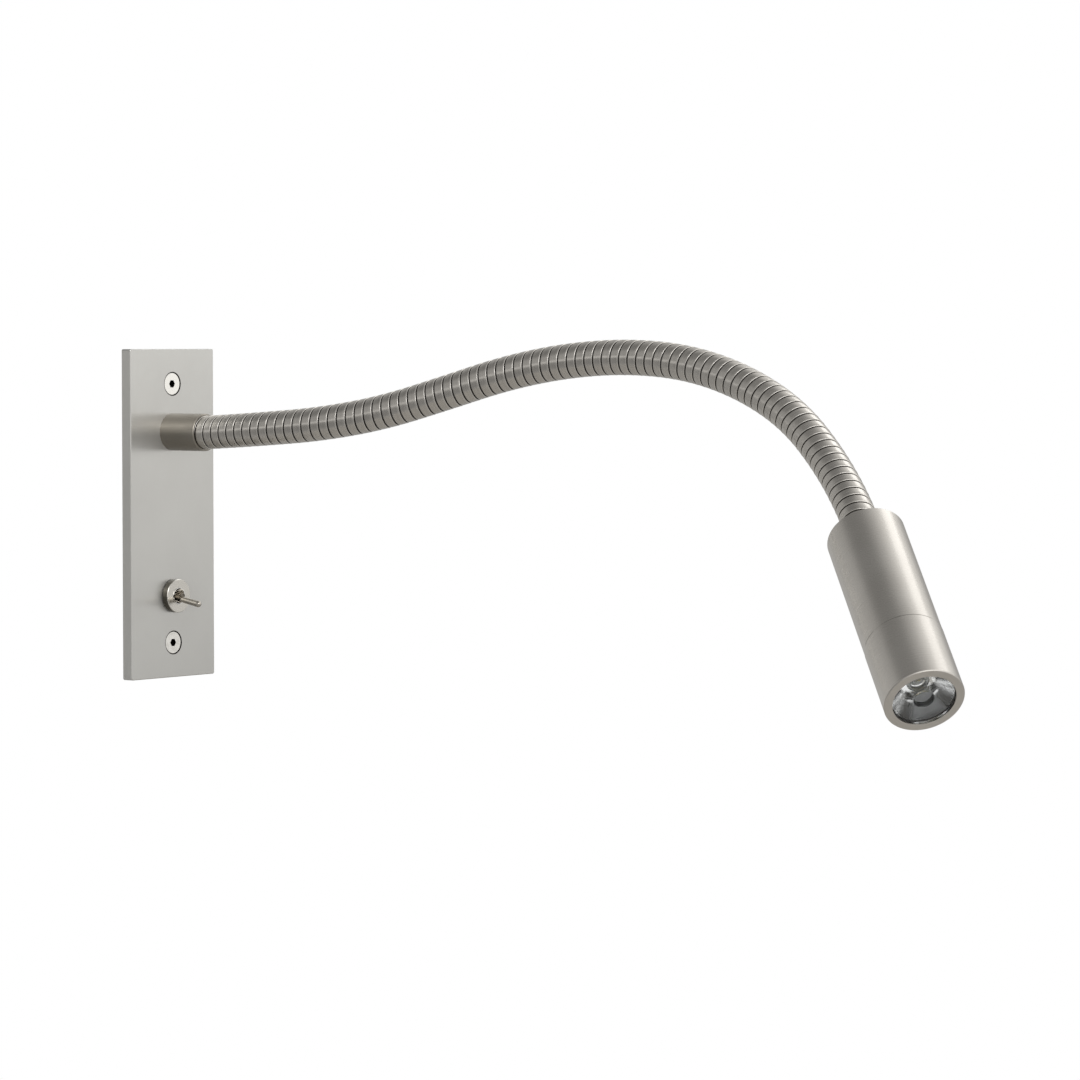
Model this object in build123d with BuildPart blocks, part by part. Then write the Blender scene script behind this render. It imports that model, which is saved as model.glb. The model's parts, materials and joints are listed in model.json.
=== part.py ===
"""Gooseneck wall sconce: wall plate with a toggle switch, a strip-wound neck and a turned lamp head.

Millimetres. The origin is the centre of the plate's back face, on the wall. X runs across the plate,
Z points up, and the room lies towards -Y, so depths behind the wall's surface are positive in Y.
Turned pieces are drawn as half outlines of (radius, distance along the piece's own direction).
"""

from build123d import *
from math import cos, radians, sin, sqrt, tan
import os

os.makedirs("parts", exist_ok=True)

# ---------------------------------------------------------------- driving dimensions

# Wall plate
PLATE_WIDTH = 50.0
PLATE_HEIGHT = 137.0
PLATE_THICKNESS = 5.0
PLATE_CORNER = 0.8
PLATE_BEVEL = 0.3
POCKET_DEPTH = 1.2
POCKET_FROM_SIDES = 5.5
POCKET_TOP = 46.0
POCKET_BOTTOM = -44.0
POCKET_CORNER = 3.0
BLIND_HOLE_SKIN = 0.8
COUNTERSINK_ANGLE = 90

# Fixing screws, countersunk with a hex socket
SCREW_SPACING = 108.0
SCREW_THREAD = 5.0
SCREW_WAIST = 4.2
SCREW_HEAD = 9.0
SCREW_SUNK = 0.25
SCREW_LENGTH = 26.0
SCREW_SOCKET = 3.0
SCREW_SOCKET_DEPTH = 2.0
SCREW_TIP = 0.8
SCREW_HOLE = 5.6
COUNTERSINK = 9.6

# Neck: a strip-wound hose over a stay-put core, with the lamp lead inside
NECK_HEIGHT = 34.0
HOSE_DIAMETER = 14.0
HOSE_BORE = 11.2
TURN = 4.18
TURNS_PER_LINK = 7
FIRST_TURN = 18.5
GROOVE_DEPTH = 0.45
GROOVE_WIDTH = 0.5
BALL_DIAMETER = 12.8
BALL_REACH = 3.0
BALL_BORE = 10.4
BALL_FLANGE = 1.2
BALL_CLEARANCE = 0.3
BEND_SHARE = 0.45
CORE_DIAMETER = 7.4
CORE_BORE = 4.6
LEAD_DIAMETER = 3.2

# Heading of each link, in degrees: (towards -X, up), from the second to the lamp head
HEADINGS = [
    (-1.5, 3.5),
    (-7.5, 4.5),
    (-12.0, 9.5),
    (-13.0, 16.0),
    (-11.5, 16.5),
    (-8.0, 10.0),
    (-4.5, 3.0),
    (-0.5, -5.0),
    (4.5, -15.5),
    (11.5, -24.5),
    (21.5, -34.5),
    (31.5, -35.5),
    (37.5, -39.0),
]

# Collar and nipple at the neck's root
COLLAR_DIAMETER = 15.5
COLLAR_LENGTH = 18.9
COLLAR_WEB = 3.0
COLLAR_EDGE = 0.3
NIPPLE_DIAMETER = 10.0
NIPPLE_BORE = 8.0
NIPPLE_INSIDE_HOSE = 6.0
NIPPLE_TAIL = 5.0
NUT_ACROSS_FLATS = 14.0
NUT_THICKNESS = 3.0
LOCK_WASHER_DIAMETER = 16.0
LOCK_WASHER_THICKNESS = 0.8
GROMMET_FLANGE = 1.0
GROMMET_DEPTH = 3.0
CORE_INSERTION = 8.0

# Earth screw and tag
EARTH_FROM_EDGE = 11.2
EARTH_Z = 29.0
EARTH_THREAD = 4.0
EARTH_HEAD = 7.0
EARTH_HEAD_HEIGHT = 2.2
EARTH_HEAD_EDGE = 1.1
EARTH_TAG_DIAMETER = 8.0
EARTH_TAG_THICKNESS = 0.8
EARTH_TAG_LENGTH = 9.0
EARTH_TAG_WIDTH = 3.0

# Toggle switch
SWITCH_HEIGHT = -34.4
BUSH_DIAMETER = 7.0
BUSH_PROUD = 0.2
BUSH_MOUTH = 6.4
BUSH_THROAT = 3.8
BUSH_TAIL = 0.8
DRESS_NUT_DIAMETER = 13.9
DRESS_NUT_THICKNESS = 2.7
DRESS_NUT_EDGE = 0.2
SPANNER_SLOT_WIDTH = 1.0
SPANNER_SLOT_DEPTH = 0.8
SWITCH_WASHER_DIAMETER = 12.6
SWITCH_WASHER_THICKNESS = 0.5
SWITCH_NUT_ACROSS_FLATS = 10.0
SWITCH_NUT_THICKNESS = 1.5
SWITCH_CASE_WIDTH = 8.0
SWITCH_CASE_DEPTH = 9.5
SWITCH_CASE_WALL = 1.0
TERMINAL_SPACING = 4.7
TERMINAL_CLEARS_CASE = 0.4
TERMINAL_LENGTH = 4.0
TERMINAL_WIDTH = 2.0
TERMINAL_THICKNESS = 0.8
LEVER_TILT = 10.0
LEVER_PIVOT_DEPTH = -2.2
LEVER_LENGTH = 18.6
LEVER_BALL = 4.2
LEVER_NECK = 2.3
LEVER_NECK_LENGTH = 6.2
LEVER_TIP = 2.7
LEVER_TAIL = 2.2
LEVER_TAIL_LENGTH = 5.2
LEVER_TAIL_BORE_START = 1.0
PIVOT_PIN = 0.8
PLUNGER_DIAMETER = 1.1
PLUNGER_LENGTH = 4.55
SPRING_LENGTH = 1.7
SPRING_WIRE = 0.24
SPRING_TURNS = 4
SPRING_GAP = 0.05
ROCKER_PAST_TERMINALS = 0.2
ROCKER_WIDTH = 3.0
ROCKER_THICKNESS = 0.4
ROCKER_SADDLE = 0.8
ROCKER_GAP = 0.2

# Driver, behind the plate between the nipple and the switch
DRIVER_WIDTH = 34.0
DRIVER_TOP = 19.5
DRIVER_BOTTOM = -24.0
DRIVER_DEPTH = 23.7
DRIVER_WALL = 1.5
DRIVER_CORNER = 2.0
LID_THICKNESS = 1.5
LID_SPIGOT = 1.5
BOARD_THICKNESS = 1.6
BOARD_STANDOFF = 4.7
BOARD_MARGIN = 0.5
POST_DIAMETER = 4.0
POST_INSET = 3.5
TRANSFORMER_SIZE = (14.0, 11.0, 15.0)
TRANSFORMER_PLACE = (-7.0, -4.0)
BOBBIN_FLANGE = 1.5
CAPACITOR_DIAMETER = 8.0
CAPACITOR_LENGTH = 11.5
CAPACITOR_PLACE = (8.5, 8.0)
CAPACITOR_EDGE = 0.5
TERMINAL_BLOCK_SIZE = (9.0, 9.0, 10.5)
TERMINAL_BLOCK_PLACE = (9.0, -7.5)
TERMINAL_ENTRY = 3.2
TERMINAL_ENTRY_DEPTH = 6.0
TERMINAL_ENTRY_SPACING = 4.5
FEED_HOLE = 7.0
DRIVER_SCREW = 3.0
DRIVER_SCREW_HEAD = 5.5
DRIVER_SCREW_HEAD_HEIGHT = 1.8
DRIVER_SCREW_SPACING = 18.0
LEAD_DROP = 26.0
LEAD_DROP_DEPTH = 18.0
SWITCH_LEAD_INSIDE = 13.0
SWITCH_LEAD_DIAMETER = 2.4
SWITCH_LEAD_LOOP = 5.4

# Lamp head, measured from its rear face
HEAD_DIAMETER = 29.2
HEAD_LENGTH = 87.5
HEAD_BORE = 25.0
HEAD_REAR_EDGE = 1.2
HEAD_SOCKET_DEPTH = 8.0
HEAD_WEB = 3.0
SPIGOT_LENGTH = 8.0
SPIGOT_DIAMETER = 27.0
BEZEL_LENGTH = 29.0
BEZEL_DIAMETER = 29.4
BEZEL_OPENING = 23.2
BEZEL_LIP = 1.5
BEZEL_EDGE = 0.3
SEAM_GAP = 0.15
HEAD_NIPPLE_TAIL = 4.0
SINK_LENGTH = 20.0
SINK_FIN_PITCH = 3.0
SINK_FIN_GAP = 1.4
SINK_FIN_DEPTH = 3.5
SINK_FINS = 4
LEAD_OFFSET = 6.5
LEAD_HOLE = 4.2
LEAD_LEAVES_AXIS = 22.0
LEAD_CLEARS_SINK = 5.0
LEAD_STANDS_PROUD = 0.3
PAD_THICKNESS = 0.4
LED_BOARD_DIAMETER = 20.0
LED_BOARD_THICKNESS = 1.6
EMITTER_SIZE = 3.6
EMITTER_HEIGHT = 0.7
EMITTER_DOME = 2.8
BOARD_SCREW = 2.5
BOARD_SCREW_HEAD = 4.4
BOARD_SCREW_HEAD_HEIGHT = 1.4
BOARD_SCREW_SPACING = 15.0
BOARD_SCREW_DEPTH = 5.0
HOLDER_WALL = 0.9
HOLDER_BASE_HEIGHT = 4.0
HOLDER_BASE_THICKNESS = 1.5
HOLDER_BASE_HOLE = 11.4
LENS_FLANGE_THICKNESS = 1.2
LENS_FRONT_STEP = 1.3
LENS_FOOT_DIAMETER = 8.4
LENS_FOOT_GAP = 1.6
LENS_CAVITY_DIAMETER = 6.0
LENS_CAVITY_DEPTH = 3.6
LENS_DIMPLE_DIAMETER = 7.6
LENS_DIMPLE_DEPTH = 2.2
LENS_DIMPLE_FLOOR = 6.6
SEAL_THICKNESS = 0.4
SEAL_WIDTH = 0.7

# Fits
RUNNING = 0.05
LOOSE = 0.1

# ---------------------------------------------------------------- shared places and helpers

OUT = Vector(0, -1, 0)
IN = Vector(0, 1, 0)
UP = Vector(0, 0, 1)
PLATE_FRONT = -PLATE_THICKNESS
POCKET_FLOOR = -POCKET_DEPTH
NECK_ROOT = Vector(0, PLATE_FRONT, NECK_HEIGHT)
LINK_LENGTH = TURN * TURNS_PER_LINK
HALF_LINK = LINK_LENGTH / 2
HALF_GAP = TURN / 2
FIRST_HINGE = FIRST_TURN + HALF_GAP
BODY_LENGTH = HEAD_LENGTH - BEZEL_LENGTH
POCKET_WIDTH = PLATE_WIDTH - 2 * POCKET_FROM_SIDES
EARTH_X = PLATE_WIDTH / 2 - EARTH_FROM_EDGE
SWITCH_CASE_HEIGHT = 2 * (TERMINAL_SPACING + TERMINAL_THICKNESS / 2 + TERMINAL_CLEARS_CASE + SWITCH_CASE_WALL)
ROCKER_LENGTH = 2 * (TERMINAL_SPACING + ROCKER_PAST_TERMINALS)
SWITCH_CENTRE = Vector(0, 0, SWITCH_HEIGHT)
BLIND_HOLE_DEPTH = PLATE_THICKNESS - POCKET_DEPTH - BLIND_HOLE_SKIN


def heading(towards_minus_x, upwards):
    """Unit vector that leaves the wall, turned by the two angles in degrees."""
    side, rise = radians(towards_minus_x), radians(upwards)
    return Vector(-sin(side) * cos(rise), -cos(side) * cos(rise), sin(rise))


def turning_plane(origin, direction):
    """Sketch plane with X along a radius and Y along the direction."""
    radius_dir = direction.cross(UP).normalized()
    return Plane(origin=origin, x_dir=radius_dir, z_dir=radius_dir.cross(direction))


def half_outline(origin, direction, *points):
    """Half section of a turned piece, from (radius, distance) points joined by straight lines."""
    with BuildSketch(turning_plane(origin, direction)) as section:
        with BuildLine():
            Polyline(*points, close=True)
        make_face()
    return section.sketch


def tube_outline(origin, direction, inner, outer, start, end):
    """Half section of a plain ring or tube, given its two diameters."""
    return half_outline(
        origin,
        direction,
        (inner / 2, start),
        (outer / 2, start),
        (outer / 2, end),
        (inner / 2, end),
    )


def bend_radius(before, corner, after):
    """Radius of the tangent arc at a corner of a route, as large as its two runs allow."""
    first = corner - before
    second = after - corner
    half_turn = radians(first.get_angle(second)) / 2
    return BEND_SHARE * min(first.length, second.length) / tan(half_turn)


def route_radii(points):
    """The radii at all the corners of a route."""
    return [bend_radius(*points[i - 1 : i + 2]) for i in range(1, len(points) - 1)]


def finish(builder, name):
    """Label a piece and write it to its own file."""
    builder.part.label = name
    export_step(builder.part, f"parts/{name}.step")


# Stations of the neck: the centre of each hinge, and the directions of the straight links between them
directions = [OUT] + [heading(*angles) for angles in HEADINGS]
hinges = [NECK_ROOT + OUT * FIRST_HINGE]
for direction in directions[1:-1]:
    hinges.append(hinges[-1] + direction * LINK_LENGTH)
HEAD_DIR = directions[-1]
HEAD_REAR = hinges[-1] + HEAD_DIR * HALF_LINK

# ---------------------------------------------------------------- wall plate

with BuildPart() as wall_plate:
    with BuildSketch(Plane.XZ):
        RectangleRounded(PLATE_WIDTH, PLATE_HEIGHT, PLATE_CORNER)
    extrude(amount=PLATE_THICKNESS)
    chamfer(wall_plate.faces().sort_by(Axis.Y)[0].edges(), PLATE_BEVEL)
    with BuildSketch(Plane.XZ):
        with Locations((0, (POCKET_TOP + POCKET_BOTTOM) / 2)):
            RectangleRounded(POCKET_WIDTH, POCKET_TOP - POCKET_BOTTOM, POCKET_CORNER)
    extrude(amount=POCKET_DEPTH, mode=Mode.SUBTRACT)
    with Locations(Plane(origin=(0, PLATE_FRONT, 0), x_dir=(1, 0, 0), z_dir=(0, -1, 0))):
        with Locations((0, SCREW_SPACING / 2), (0, -SCREW_SPACING / 2)):
            CounterSinkHole(SCREW_HOLE / 2, COUNTERSINK / 2, PLATE_THICKNESS, COUNTERSINK_ANGLE)
        with Locations((0, NECK_HEIGHT)):
            Hole(NIPPLE_DIAMETER / 2 + RUNNING)
        with Locations((0, SWITCH_HEIGHT)):
            Hole(BUSH_DIAMETER / 2 + RUNNING)
    with Locations(Plane(origin=(0, POCKET_FLOOR, 0), x_dir=(-1, 0, 0), z_dir=(0, 1, 0))):
        with Locations((-DRIVER_SCREW_SPACING / 2, 0), (DRIVER_SCREW_SPACING / 2, 0)):
            Hole(DRIVER_SCREW / 2 + RUNNING, BLIND_HOLE_DEPTH)
        with Locations((-EARTH_X, EARTH_Z)):
            Hole(EARTH_THREAD / 2 + RUNNING, BLIND_HOLE_DEPTH)
finish(wall_plate, "wall_plate")

# ---------------------------------------------------------------- fixing screws

HEAD_TOP = PLATE_FRONT + SCREW_SUNK
HEAD_CONE = (SCREW_HEAD - SCREW_WAIST) / 2

with BuildPart() as fixing_screws:
    for side in (1, -1):
        screw_axis = Vector(0, 0, side * SCREW_SPACING / 2)
        revolve(
            half_outline(
                screw_axis,
                IN,
                (0, HEAD_TOP),
                (SCREW_HEAD / 2, HEAD_TOP),
                (SCREW_WAIST / 2, HEAD_TOP + HEAD_CONE),
                (SCREW_WAIST / 2, 0),
                (SCREW_THREAD / 2, 0),
                (SCREW_THREAD / 2, SCREW_LENGTH - SCREW_TIP),
                (SCREW_THREAD / 2 - SCREW_TIP, SCREW_LENGTH),
                (0, SCREW_LENGTH),
            ),
            axis=Axis(screw_axis, IN),
        )
    with BuildSketch(Plane.XZ.offset(-HEAD_TOP)):
        with Locations((0, SCREW_SPACING / 2), (0, -SCREW_SPACING / 2)):
            RegularPolygon(SCREW_SOCKET / 2, 6, major_radius=False)
    extrude(amount=-SCREW_SOCKET_DEPTH, mode=Mode.SUBTRACT)
finish(fixing_screws, "fixing_screws")

# ---------------------------------------------------------------- neck root

NIPPLE_FRONT = COLLAR_WEB + NIPPLE_INSIDE_HOSE
NIPPLE_BACK = -PLATE_THICKNESS - NIPPLE_TAIL
NUT_SEAT = POCKET_FLOOR + LOCK_WASHER_THICKNESS

with BuildPart() as neck_collar:
    revolve(
        half_outline(
            NECK_ROOT,
            OUT,
            (NIPPLE_DIAMETER / 2 + RUNNING, 0),
            (COLLAR_DIAMETER / 2, 0),
            (COLLAR_DIAMETER / 2, COLLAR_LENGTH - COLLAR_EDGE),
            (COLLAR_DIAMETER / 2 - COLLAR_EDGE, COLLAR_LENGTH),
            (HOSE_DIAMETER / 2 + RUNNING, COLLAR_LENGTH),
            (HOSE_DIAMETER / 2 + RUNNING, COLLAR_WEB),
            (NIPPLE_DIAMETER / 2 + RUNNING, COLLAR_WEB),
        ),
        axis=Axis(NECK_ROOT, OUT),
    )
finish(neck_collar, "neck_collar")

with BuildPart() as root_nipple:
    revolve(
        tube_outline(NECK_ROOT, OUT, NIPPLE_BORE, NIPPLE_DIAMETER, NIPPLE_BACK, NIPPLE_FRONT),
        axis=Axis(NECK_ROOT, OUT),
    )
finish(root_nipple, "root_nipple")

NIPPLE_AXIS = Vector(0, 0, NECK_HEIGHT)

with BuildPart() as nipple_lock_washer:
    revolve(
        tube_outline(
            NIPPLE_AXIS,
            IN,
            NIPPLE_DIAMETER + 2 * LOOSE,
            LOCK_WASHER_DIAMETER,
            POCKET_FLOOR,
            NUT_SEAT,
        ),
        axis=Axis(NIPPLE_AXIS, IN),
    )
finish(nipple_lock_washer, "nipple_lock_washer")

with BuildPart() as nipple_nut:
    with BuildSketch(Plane.XZ.offset(-NUT_SEAT)):
        with Locations((0, NECK_HEIGHT)):
            RegularPolygon(NUT_ACROSS_FLATS / 2, 6, major_radius=False)
            Circle(NIPPLE_DIAMETER / 2 + RUNNING, mode=Mode.SUBTRACT)
    extrude(amount=-NUT_THICKNESS)
finish(nipple_nut, "nipple_nut")

with BuildPart() as lead_grommet:
    revolve(
        half_outline(
            NIPPLE_AXIS,
            IN,
            (LEAD_DIAMETER / 2 + LOOSE, NIPPLE_TAIL - GROMMET_DEPTH),
            (NIPPLE_BORE / 2 - RUNNING, NIPPLE_TAIL - GROMMET_DEPTH),
            (NIPPLE_BORE / 2 - RUNNING, NIPPLE_TAIL),
            (NIPPLE_DIAMETER / 2, NIPPLE_TAIL),
            (NIPPLE_DIAMETER / 2, NIPPLE_TAIL + GROMMET_FLANGE),
            (LEAD_DIAMETER / 2 + LOOSE, NIPPLE_TAIL + GROMMET_FLANGE),
        ),
        axis=Axis(NIPPLE_AXIS, IN),
    )
finish(lead_grommet, "lead_grommet")

# ---------------------------------------------------------------- neck hose, one solid for each link

SOCKET_DIAMETER = BALL_DIAMETER + 2 * BALL_CLEARANCE


def sphere_arc(diameter, centre, start, end):
    """Arc of a ball centred on the axis, between two distances past its centre."""
    radius = diameter / 2
    places = (start, (start + end) / 2, end)
    ThreePointArc(*[(sqrt(radius**2 - place**2), centre + place) for place in places])


def groove_points(start, turns):
    """Outline of the V grooves between the turns, from the first line to the last."""
    points = []
    for turn in range(turns):
        line = start + turn * TURN
        points.append((HOSE_DIAMETER / 2, line - GROOVE_WIDTH / 2))
        points.append((HOSE_DIAMETER / 2 - GROOVE_DEPTH, line))
        points.append((HOSE_DIAMETER / 2, line + GROOVE_WIDTH / 2))
    return points


def hose_outline(origin, direction, start, end, grooves, socket, ball):
    """Half section of a hose link: a socket end turns on the ball of the link before it.

    Start and end are distances from the origin. A socket is centred on the origin, a ball on the end.
    """
    with BuildSketch(turning_plane(origin, direction)) as section:
        with BuildLine():
            if socket:
                seat = sqrt((SOCKET_DIAMETER / 2) ** 2 - (HOSE_BORE / 2) ** 2)
                sphere_arc(SOCKET_DIAMETER, 0, seat, HALF_GAP)
                inner_start = (HOSE_BORE / 2, seat)
                lip = (sqrt((SOCKET_DIAMETER / 2) ** 2 - HALF_GAP**2), HALF_GAP)
                outer_start = (HOSE_DIAMETER / 2, HALF_GAP)
            else:
                inner_start = (HOSE_BORE / 2, start)
                lip = inner_start
                outer_start = (HOSE_DIAMETER / 2, start)
            if ball:
                sphere_arc(BALL_DIAMETER, end, -HALF_GAP, BALL_REACH)
                shoulder = end - HALF_GAP
                ball_foot = (sqrt((BALL_DIAMETER / 2) ** 2 - HALF_GAP**2), shoulder)
                ball_rim = (sqrt((BALL_DIAMETER / 2) ** 2 - BALL_REACH**2), end + BALL_REACH)
                Polyline(
                    lip,
                    outer_start,
                    *grooves,
                    (HOSE_DIAMETER / 2, shoulder),
                    ball_foot,
                )
                Polyline(
                    ball_rim,
                    (BALL_BORE / 2, end + BALL_REACH),
                    (BALL_BORE / 2, shoulder - BALL_FLANGE),
                    (HOSE_BORE / 2, shoulder - BALL_FLANGE),
                    inner_start,
                )
            else:
                Polyline(
                    lip,
                    outer_start,
                    *grooves,
                    (HOSE_DIAMETER / 2, end),
                    (HOSE_BORE / 2, end),
                    inner_start,
                )
        make_face()
    return section.sketch


with BuildPart() as root_hose:
    revolve(
        hose_outline(
            NECK_ROOT,
            OUT,
            COLLAR_WEB,
            FIRST_HINGE,
            [],
            socket=False,
            ball=True,
        ),
        axis=Axis(NECK_ROOT, OUT),
    )
finish(root_hose, "neck_hose_00")

for number, (hinge, direction) in enumerate(zip(hinges[:-1], directions[1:-1]), start=1):
    with BuildPart() as link_hose:
        revolve(
            hose_outline(
                hinge,
                direction,
                0,
                LINK_LENGTH,
                groove_points(HALF_GAP + TURN, TURNS_PER_LINK - 2),
                socket=True,
                ball=True,
            ),
            axis=Axis(hinge, direction),
        )
    finish(link_hose, f"neck_hose_{number:02d}")

with BuildPart() as head_hose:
    revolve(
        hose_outline(
            hinges[-1],
            HEAD_DIR,
            0,
            HALF_LINK + HEAD_SOCKET_DEPTH,
            groove_points(HALF_GAP + TURN, (TURNS_PER_LINK - 1) // 2),
            socket=True,
            ball=False,
        ),
        axis=Axis(hinges[-1], HEAD_DIR),
    )
finish(head_hose, f"neck_hose_{len(hinges):02d}")

# ---------------------------------------------------------------- lamp lead and neck core

HEAD_SIDE = HEAD_DIR.cross(UP).normalized()
HEAD_DOWN = HEAD_DIR.cross(HEAD_SIDE)
SINK_FRONT = BODY_LENGTH + SPIGOT_LENGTH
SINK_BACK = SINK_FRONT - SINK_LENGTH
LED_BOARD_BACK = SINK_FRONT + PAD_THICKNESS
LED_BOARD_FRONT = LED_BOARD_BACK + LED_BOARD_THICKNESS


def head_point(distance, below=0.0):
    """Point in the lamp head, at a distance from its rear face and a distance below its axis."""
    return HEAD_REAR + HEAD_DIR * distance + HEAD_DOWN * below


def head_section(distance):
    """Sketch plane square to the head's axis, at a distance from its rear face."""
    return Plane(origin=head_point(distance), x_dir=HEAD_SIDE, z_dir=HEAD_DIR)


lead_route = [
    Vector(0, LEAD_DROP_DEPTH, NECK_HEIGHT - LEAD_DROP),
    Vector(0, LEAD_DROP_DEPTH, NECK_HEIGHT),
    *hinges,
    head_point(LEAD_LEAVES_AXIS),
    head_point(SINK_BACK - LEAD_CLEARS_SINK, LEAD_OFFSET),
    head_point(LED_BOARD_FRONT + LEAD_STANDS_PROUD, LEAD_OFFSET),
]
lead_radii = route_radii(lead_route)
print("lamp lead radii:", [round(radius, 1) for radius in lead_radii])

with BuildPart() as lamp_lead:
    with BuildLine() as route:
        FilletPolyline(*lead_route, radius=lead_radii)
    with BuildSketch(Plane(origin=lead_route[0], z_dir=route.line % 0)):
        Circle(LEAD_DIAMETER / 2)
    sweep(path=route.line)
finish(lamp_lead, "lamp_lead")
LEAD_LENGTH = route.wire().length
print("lamp lead length:", round(LEAD_LENGTH, 1))
print("lamp lead section from its volume:", round(lamp_lead.part.volume / LEAD_LENGTH, 4))

core_route = [
    NECK_ROOT + OUT * (NIPPLE_FRONT - CORE_INSERTION),
    *hinges,
    head_point(CORE_INSERTION - NIPPLE_INSIDE_HOSE),
]

with BuildPart() as neck_core:
    with BuildLine() as route:
        FilletPolyline(*core_route, radius=lead_radii[1 : len(hinges) + 1])
    with BuildSketch(Plane(origin=core_route[0], z_dir=route.line % 0)):
        Circle(CORE_DIAMETER / 2)
        Circle(CORE_BORE / 2, mode=Mode.SUBTRACT)
    sweep(path=route.line)
finish(neck_core, "neck_core")

# ---------------------------------------------------------------- earth tag and screw

TAG_BACK = POCKET_FLOOR + EARTH_TAG_THICKNESS
EARTH_AXIS = Vector(EARTH_X, 0, EARTH_Z)

with BuildPart() as earth_tag:
    with BuildSketch(Plane.XZ.offset(-POCKET_FLOOR)):
        with Locations((EARTH_X, EARTH_Z)):
            Circle(EARTH_TAG_DIAMETER / 2)
        with Locations((EARTH_X, EARTH_Z + EARTH_TAG_LENGTH / 2)):
            Rectangle(EARTH_TAG_WIDTH, EARTH_TAG_LENGTH)
        with Locations((EARTH_X, EARTH_Z)):
            Circle(EARTH_THREAD / 2 + RUNNING, mode=Mode.SUBTRACT)
    extrude(amount=-EARTH_TAG_THICKNESS)
finish(earth_tag, "earth_tag")

with BuildPart() as earth_screw:
    revolve(
        half_outline(
            EARTH_AXIS,
            IN,
            (0, POCKET_FLOOR - BLIND_HOLE_DEPTH + LOOSE),
            (EARTH_THREAD / 2, POCKET_FLOOR - BLIND_HOLE_DEPTH + LOOSE),
            (EARTH_THREAD / 2, TAG_BACK),
            (EARTH_HEAD / 2, TAG_BACK),
            (EARTH_HEAD / 2, TAG_BACK + EARTH_HEAD_HEIGHT - EARTH_HEAD_EDGE),
            (EARTH_HEAD / 2 - EARTH_HEAD_EDGE, TAG_BACK + EARTH_HEAD_HEIGHT),
            (0, TAG_BACK + EARTH_HEAD_HEIGHT),
        ),
        axis=Axis(EARTH_AXIS, IN),
    )
finish(earth_screw, "earth_screw")

# ---------------------------------------------------------------- toggle switch: bush and its nuts

WASHER_FRONT = PLATE_THICKNESS + SWITCH_WASHER_THICKNESS
NUT_FRONT = WASHER_FRONT + DRESS_NUT_THICKNESS
BUSH_FRONT = NUT_FRONT + BUSH_PROUD
CASE_FRONT = POCKET_FLOOR + SWITCH_NUT_THICKNESS
CASE_BACK = CASE_FRONT + SWITCH_CASE_DEPTH
BUSH_BACK = CASE_FRONT + BUSH_TAIL
PIVOT_AXIS_X = Vector(1, 0, 0)
LEVER_PIVOT = SWITCH_CENTRE + IN * LEVER_PIVOT_DEPTH
BALL_SEAT_DIAMETER = LEVER_BALL + 2 * LOOSE

with BuildPart() as switch_washer:
    revolve(
        tube_outline(
            SWITCH_CENTRE,
            OUT,
            BUSH_DIAMETER + 2 * RUNNING,
            SWITCH_WASHER_DIAMETER,
            PLATE_THICKNESS,
            WASHER_FRONT,
        ),
        axis=Axis(SWITCH_CENTRE, OUT),
    )
finish(switch_washer, "switch_washer")

with BuildPart() as switch_dress_nut:
    revolve(
        half_outline(
            SWITCH_CENTRE,
            OUT,
            (BUSH_DIAMETER / 2 + RUNNING, WASHER_FRONT),
            (DRESS_NUT_DIAMETER / 2, WASHER_FRONT),
            (DRESS_NUT_DIAMETER / 2, NUT_FRONT - DRESS_NUT_EDGE),
            (DRESS_NUT_DIAMETER / 2 - DRESS_NUT_EDGE, NUT_FRONT),
            (BUSH_DIAMETER / 2 + RUNNING, NUT_FRONT),
        ),
        axis=Axis(SWITCH_CENTRE, OUT),
    )
finish(switch_dress_nut, "switch_dress_nut")

with BuildPart() as switch_bush:
    with BuildSketch(turning_plane(LEVER_PIVOT, OUT)):
        mouth = BUSH_FRONT + LEVER_PIVOT_DEPTH
        tail = -BUSH_BACK + LEVER_PIVOT_DEPTH
        throat = sqrt(BALL_SEAT_DIAMETER**2 - BUSH_THROAT**2) / 2
        with BuildLine():
            sphere_arc(BALL_SEAT_DIAMETER, 0, throat, 0)
            Polyline(
                (BALL_SEAT_DIAMETER / 2, 0),
                (BALL_SEAT_DIAMETER / 2, tail),
                (BUSH_DIAMETER / 2, tail),
                (BUSH_DIAMETER / 2, mouth),
                (BUSH_MOUTH / 2, mouth),
                (BUSH_THROAT / 2, throat),
            )
        make_face()
    revolve(axis=Axis(LEVER_PIVOT, OUT))
    with BuildSketch(Plane(origin=LEVER_PIVOT, z_dir=PIVOT_AXIS_X)):
        Circle(PIVOT_PIN / 2 + RUNNING)
    extrude(amount=BUSH_DIAMETER, both=True, mode=Mode.SUBTRACT)
    with BuildSketch(Plane.XZ.offset(BUSH_FRONT)):
        with Locations((0, SWITCH_HEIGHT)):
            Rectangle(BUSH_DIAMETER, SPANNER_SLOT_WIDTH)
    extrude(amount=-SPANNER_SLOT_DEPTH, mode=Mode.SUBTRACT)
finish(switch_bush, "switch_bush")

with BuildPart() as switch_lock_nut:
    with BuildSketch(Plane.XZ.offset(-POCKET_FLOOR)):
        with Locations((0, SWITCH_HEIGHT)):
            RegularPolygon(SWITCH_NUT_ACROSS_FLATS / 2, 6, major_radius=False)
            Circle(BUSH_DIAMETER / 2 + RUNNING, mode=Mode.SUBTRACT)
    extrude(amount=-SWITCH_NUT_THICKNESS)
finish(switch_lock_nut, "switch_lock_nut")

# ---------------------------------------------------------------- toggle switch: case and terminals

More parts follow.
